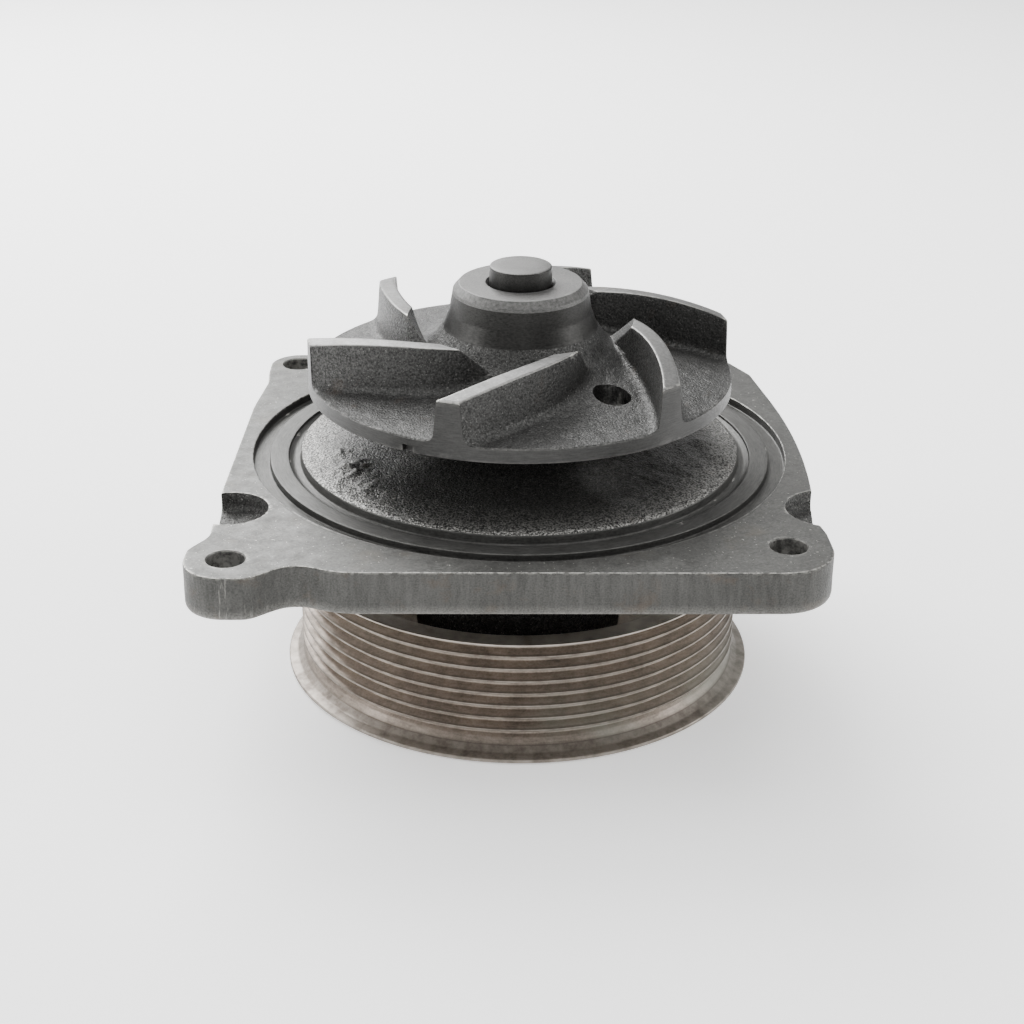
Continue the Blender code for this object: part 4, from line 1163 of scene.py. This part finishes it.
def buildBearing(place, shape):
    floor = shape["floors"][place]
    middle = floor + shape["width"] / 2.0
    low, high = floor + 0.1, floor + shape["width"] - 0.1
    innerRace = shape["circle"] - shape["ball"] - shape["raceGap"]
    outerRace = shape["circle"] + shape["ball"] + shape["raceGap"]
    lip = shape["innerLip"]
    inner = [(lip, high, 0.25)] + racePoints(middle, lip, innerRace, False)
    inner += [(lip, low, 0.25), (shape["bore"], low, 0.5), (shape["bore"], high, 0.5)]
    turnedPiece(place + "InnerRing", place + "_bearing_inner_ring", "rotor", inner,
                ringSteel, ringColumns)
    lip = shape["outerLip"]
    outer = [(shape["outside"], high, 0.5), (shape["outside"], low, 0.5), (lip, low, 0.25)]
    outer += racePoints(middle, lip, outerRace, True) + [(lip, high, 0.25)]
    turnedPiece(place + "OuterRing", place + "_bearing_outer_ring", "housing",
                outer, ringSteel, ringColumns)
    for side, height, out in (("bottom", low + 0.2, -1.0), ("top", high - 0.8, 1.0)):
        corners = (
            (19.0, height + 0.6, 0.2),
            (19.0, height, 0.2),
            (14.8, height, 0.2),
            (14.8, height + 0.6, 0.2),
            (15.6, height + 0.6 - 0.15 * (out < 0), 0.2),
            (18.2, height + 0.6 - 0.15 * (out < 0), 0.2),
        )
        node = place + "_bearing_" + side + "_shield"
        turnedPiece(place + side.capitalize() + "Shield", node, "housing", corners,
                    shieldRubber, ringColumns)
    buildBalls(place, shape, middle)
    buildCage(place, shape, middle)


def buildBalls(place, shape, middle):
    # each ball is rings of points from pole to pole, with a tiny flat at each pole
    rise = np.linspace(-0.495 * math.pi, 0.495 * math.pi, 19)[:, None]
    around = np.linspace(0.0, turn, 28, endpoint=False)[None, :]
    ball = shape["ball"] - 0.005
    for index in range(shape["balls"]):
        spin = turn * index / shape["balls"]
        centre = np.array([shape["circle"] * math.cos(spin), shape["circle"] * math.sin(spin), middle])
        points = cylinderPoints(ball * np.cos(rise), around, ball * np.sin(rise)) + centre
        name = "%sBall%d" % (place, index + 1)
        piece = gridPiece(name, points, (ballSteel,), closeRows=False, capEnds=True, sharpAngle=60.0)
        placed(piece, "%s_bearing_ball_%d" % (place, index + 1), place + "_cage")


def buildCage(place, shape, middle):
    # a pressed ribbon: two strips that part round each ball and meet between them, made as one closed
    # loop of a rectangle whose height follows the balls' outline
    count = 384
    around = np.linspace(0.0, turn, count, endpoint=False)
    pitch = turn / shape["balls"]
    fromBall = (around + pitch / 2.0) % pitch - pitch / 2.0
    reach = shape["ball"] + 0.25
    sideways = shape["circle"] * np.sin(fromBall)
    hollow = np.sqrt(np.maximum(reach**2 - sideways**2, 0.0))
    outside = np.maximum(np.sqrt(np.maximum((reach + 0.7) ** 2 - sideways**2, 0.0)), 0.9)
    low = np.maximum(hollow, 0.12)
    high = np.maximum(outside, low + 0.5)
    cageInner, cageOuter = 15.9, 17.6
    section = ((cageInner, low), (cageOuter, low), (cageOuter, high), (cageInner, high))
    parts = []
    for sign in (1.0, -1.0):
        rows = [cylinderPoints(radius, around, middle + sign * level) for radius, level in section]
        parts.append(np.stack(rows))
    meshes = [gridMesh("strip", part, True, False, None, (cageSteel,)) for part in parts]
    joined = joinMeshes(place + "Cage", meshes)
    smoothShade(joined, 32.0)
    piece = bpy.data.objects.new(place + "Cage", joined)
    bpy.context.scene.collection.objects.link(piece)
    placed(piece, place + "_bearing_cage", place + "_cage")


def joinMeshes(name, meshes):
    # several quad meshes put into one
    spots, faces, first = [], [], 0
    for mesh in meshes:
        here = np.zeros(len(mesh.vertices) * 3)
        mesh.vertices.foreach_get("co", here)
        corners = np.zeros(len(mesh.loops), np.int32)
        mesh.loops.foreach_get("vertex_index", corners)
        spots.append(here.reshape(-1, 3))
        faces.append(corners.reshape(-1, 4) + first)
        first += len(mesh.vertices)
    joined = bpy.data.meshes.new(name)
    joined.from_pydata(np.concatenate(spots), [], np.concatenate(faces))
    for material in meshes[0].materials:
        joined.materials.append(material)
    joined.update()
    return joined


for bearingPlace in bearingShape["floors"]:
    buildBearing(bearingPlace, bearingShape)
print("bearings made")

# name, CAD node, slot, body, material, corners of the profile
smallTurnings = (
    ("innerSpacer", "inner_ring_spacer", "shaft_steel", "rotor", shadedShaftTurning,
     ((12.8, 30.7, 0.3), (12.8, 26.3, 0.3), (10.3, 26.3, 0.3), (10.3, 30.7, 0.3))),
    ("slingerDisc", "slinger", "shaft_steel", "rotor", shadedShaftTurning,
     ((16.0, 50.9, 0.3), (16.0, 50.1, 0.3), (12.6, 49.8, 0.3), (10.3, 49.8, 0.3), (10.3, 51.2, 0.3),
      (12.6, 51.2, 0.3))),
    ("sealCup", "seal_cup", "seal_brass", "housing", sealBrass,
     ((20.5, 74.1, 0.3), (20.5, 73.3, 0.3), (18.0, 73.3, 0.3), (18.0, 55.8, 1.2), (11.0, 55.8, 0.3),
      (11.0, 56.6, 0.3),
      (17.2, 56.6, 0.5), (17.2, 74.1, 0.6))),
    ("sealBellows", "seal_bellows", "seal_rubber", "housing", sealRubber,
     ((13.5, 70.3, 0.3), (13.5, 68.2, 0.4), (12.8, 67.0, 1.0), (12.0, 64.0, 1.5), (13.4, 61.0, 1.2),
      (13.4, 57.0, 0.4),
      (11.2, 57.0, 0.4), (11.2, 60.6, 1.2), (10.4, 64.0, 1.5), (10.8, 67.4, 1.0), (10.8, 70.3, 0.3))),
    ("carbonFace", "carbon_face_ring", "carbon", "housing", carbonStuff,
     ((15.0, 73.0, 0.3), (15.0, 70.6, 0.3), (10.4, 70.6, 0.3), (10.4, 74.6, 0.2), (12.6, 74.6, 0.2),
      (12.6, 73.0, 0.3))),
    ("seatFace", "seat_ring", "seat_ceramic", "rotor", ceramicStuff,
     ((14.2, 77.9, 0.3), (14.2, 74.9, 0.2), (10.2, 74.9, 0.2), (10.2, 77.9, 0.3))),
    ("seatBoot", "seat_boot", "seal_rubber", "rotor", sealRubber,
     ((16.2, 79.4, 0.5), (16.2, 75.9, 0.4), (14.5, 75.9, 0.3), (14.5, 78.2, 0.2), (9.9, 78.2, 0.2),
      (9.9, 75.3, 0.3),
      (8.6, 75.3, 0.3), (8.6, 79.4, 0.3))),
)
for pieceName, nodeName, slotName, bodyName, stuff, cornerList in smallTurnings:
    turnedPiece(pieceName, nodeName, bodyName, cornerList, stuff, 112)
print("seal and small rings made")

springShape = {"coil": 15.1, "wire": 0.7, "low": 57.75, "high": 67.15, "turns": 4.0, "columns": 14}


def buildSpring(shape):
    # a round wire carried up a helix whose first and last half turns lie flat
    share = np.linspace(0.0, 1.0, int(shape["turns"] * 40) + 1)
    eased = np.clip((share - 0.09) / 0.82, 0.0, 1.0)
    angle = turn * shape["turns"] * share
    path = cylinderPoints(shape["coil"], angle, shape["low"] + (shape["high"] - shape["low"]) * eased)
    ahead = np.gradient(path, axis=0)
    ahead = ahead / np.linalg.norm(ahead, axis=1)[:, None]
    outward = cylinderPoints(1.0, angle, 0.0)
    upward = np.cross(outward, ahead)
    upward = upward / np.linalg.norm(upward, axis=1)[:, None]
    around = np.linspace(0.0, turn, shape["columns"], endpoint=False)
    points = path[:, None] + shape["wire"] * (
        outward[:, None] * np.cos(around)[None, :, None] + upward[:, None] * np.sin(around)[None, :, None]
    )
    piece = gridPiece("sealSpring", points, (springSteel,), closeRows=False, capEnds=True, sharpAngle=50.0)
    placed(piece, "seal_spring", "housing")


circlipShape = {"inner": 21.4, "outer": 24.6, "low": 10.15, "high": 11.25,
                "halfGap": math.radians(17), "lug": 0.182}


def buildCirclip(shape):
    # a flat split ring of even width that widens inwards a little at each end
    share = np.linspace(0.0, 1.0, 181)
    angle = -math.pi / 2.0 + shape["halfGap"] + (turn - 2.0 * shape["halfGap"]) * share
    nearEnd = np.minimum(share, 1.0 - share) * (turn - 2.0 * shape["halfGap"]) * shape["inner"]
    lug = np.clip(1.0 - (nearEnd / 4.5) ** 4, 0.0, 1.0)
    inner = shape["inner"] - shape["lug"] * lug
    section = ((shape["outer"], shape["low"]), (shape["outer"], shape["high"]),
               (None, shape["high"]), (None, shape["low"]))
    columns = [
        cylinderPoints(inner if radius is None else radius, angle, height) for radius, height in section
    ]
    points = np.stack(columns, axis=1)
    piece = gridPiece("bearingCirclip", points, (springSteel,), closeRows=False, capEnds=True)
    placed(piece, "bearing_circlip", "housing")


buildSpring(springShape)
buildCirclip(circlipShape)
print("spring and circlip made")


stageLook = {"floor": (0.97, 0.97, 0.97), "size": 6.0, "sky": 0.7, "glow": 0.5}


def buildStage(look):
    floor = Nodes("paleFloor")
    tone = floor.noise(3.0, 2.0, 0.5)
    pale = tuple(value * 0.985 for value in look["floor"])
    floor.finish(floor.mix(tone, look["floor"], pale), 0.0, 0.9)
    floor.shader.inputs["Emission Color"].default_value = (1.0, 1.0, 1.0, 1.0)
    floor.shader.inputs["Emission Strength"].default_value = look["glow"]
    half = look["size"] / 2.0
    steps = np.linspace(-half, half, 9)
    east, north = np.meshgrid(steps, steps, indexing="ij")
    spots = np.stack([east, north, np.full_like(east, -0.0002)], axis=-1).reshape(-1, 3)
    row, column = np.meshgrid(np.arange(8), np.arange(8), indexing="ij")
    first = (row * 9 + column).ravel()
    faces = np.stack([first, first + 9, first + 10, first + 1], axis=-1)
    mesh = bpy.data.meshes.new("studioFloor")
    mesh.from_pydata(spots, [], faces)
    mesh.materials.append(floor.material)
    ground = bpy.data.objects.new("studioFloor", mesh)
    bpy.context.scene.collection.objects.link(ground)
    world = bpy.data.worlds.new("studioAir")
    bpy.context.scene.world = world
    world.use_nodes = True
    background = world.node_tree.nodes["Background"]
    background.inputs["Color"].default_value = (1.0, 1.0, 1.0, 1.0)
    background.inputs["Strength"].default_value = look["sky"]


# name, place in metres, size, watts, and the point that it faces
lampList = (
    ("backBox", (-0.40, 0.75, 0.72), 0.9, 27.0, (0.0, 0.0, 0.06)),
    ("topBox", (0.10, 0.15, 1.10), 0.9, 7.0, (0.0, 0.0, 0.06)),
    ("leftBox", (-0.95, -0.15, 0.42), 0.6, 6.5, (0.0, 0.0, 0.05)),
    ("rightBox", (0.95, -0.10, 0.38), 0.6, 5.0, (0.0, 0.0, 0.05)),
    ("frontFill", (0.05, -1.15, 0.30), 0.5, 1.0, (0.0, 0.0, 0.03)),
)


def buildLamps(lamps):
    for name, place, size, watts, target in lamps:
        lamp = bpy.data.lights.new(name, "AREA")
        lamp.shape = "DISK"
        lamp.size = size
        lamp.energy = watts
        holder = bpy.data.objects.new(name, lamp)
        bpy.context.scene.collection.objects.link(holder)
        way = np.array(target) - np.array(place)
        holder.matrix_world = Matrix.Translation(place) @ facing(way)


def facing(way):
    # a rotation whose -Z looks along the given way, with +Y kept as upright as it can be
    back = -way / np.linalg.norm(way)
    up = np.array([0.0, 0.0, 1.0]) if abs(back[2]) < 0.99 else np.array([0.0, 1.0, 0.0])
    right = np.cross(up, back)
    right = right / np.linalg.norm(right)
    up = np.cross(back, right)
    return Matrix((
        (right[0], up[0], back[0], 0.0),
        (right[1], up[1], back[1], 0.0),
        (right[2], up[2], back[2], 0.0),
        (0.0, 0.0, 0.0, 1.0),
    ))


cameraLook = {
    "focus": 73.83,
    "distance": 0.58095,
    "elevation": math.radians(24.45),
    "turn": math.radians(-0.9),
    "roll": math.radians(0.46),
    "aim": (-0.00181, 0.0, 0.04198),
}


def buildCamera(look):
    lens = bpy.data.cameras.new("mainView")
    lens.sensor_width = 36.0
    lens.lens = look["focus"]
    lens.clip_start = 0.01
    lens.clip_end = 20.0
    camera = bpy.data.objects.new("mainView", lens)
    bpy.context.scene.collection.objects.link(camera)
    tilt = Matrix.Rotation(math.pi / 2.0 - look["elevation"], 4, "X")
    spin = Matrix.Rotation(look["turn"], 4, "Z")
    place = Matrix.Translation(look["aim"])
    back = Matrix.Translation((0.0, 0.0, look["distance"]))
    camera.matrix_world = spin @ place @ tilt @ back @ Matrix.Rotation(look["roll"], 4, "Z")
    bpy.context.scene.camera = camera


buildStage(stageLook)
buildLamps(lampList)
buildCamera(cameraLook)
print("stage, lamps and camera made")
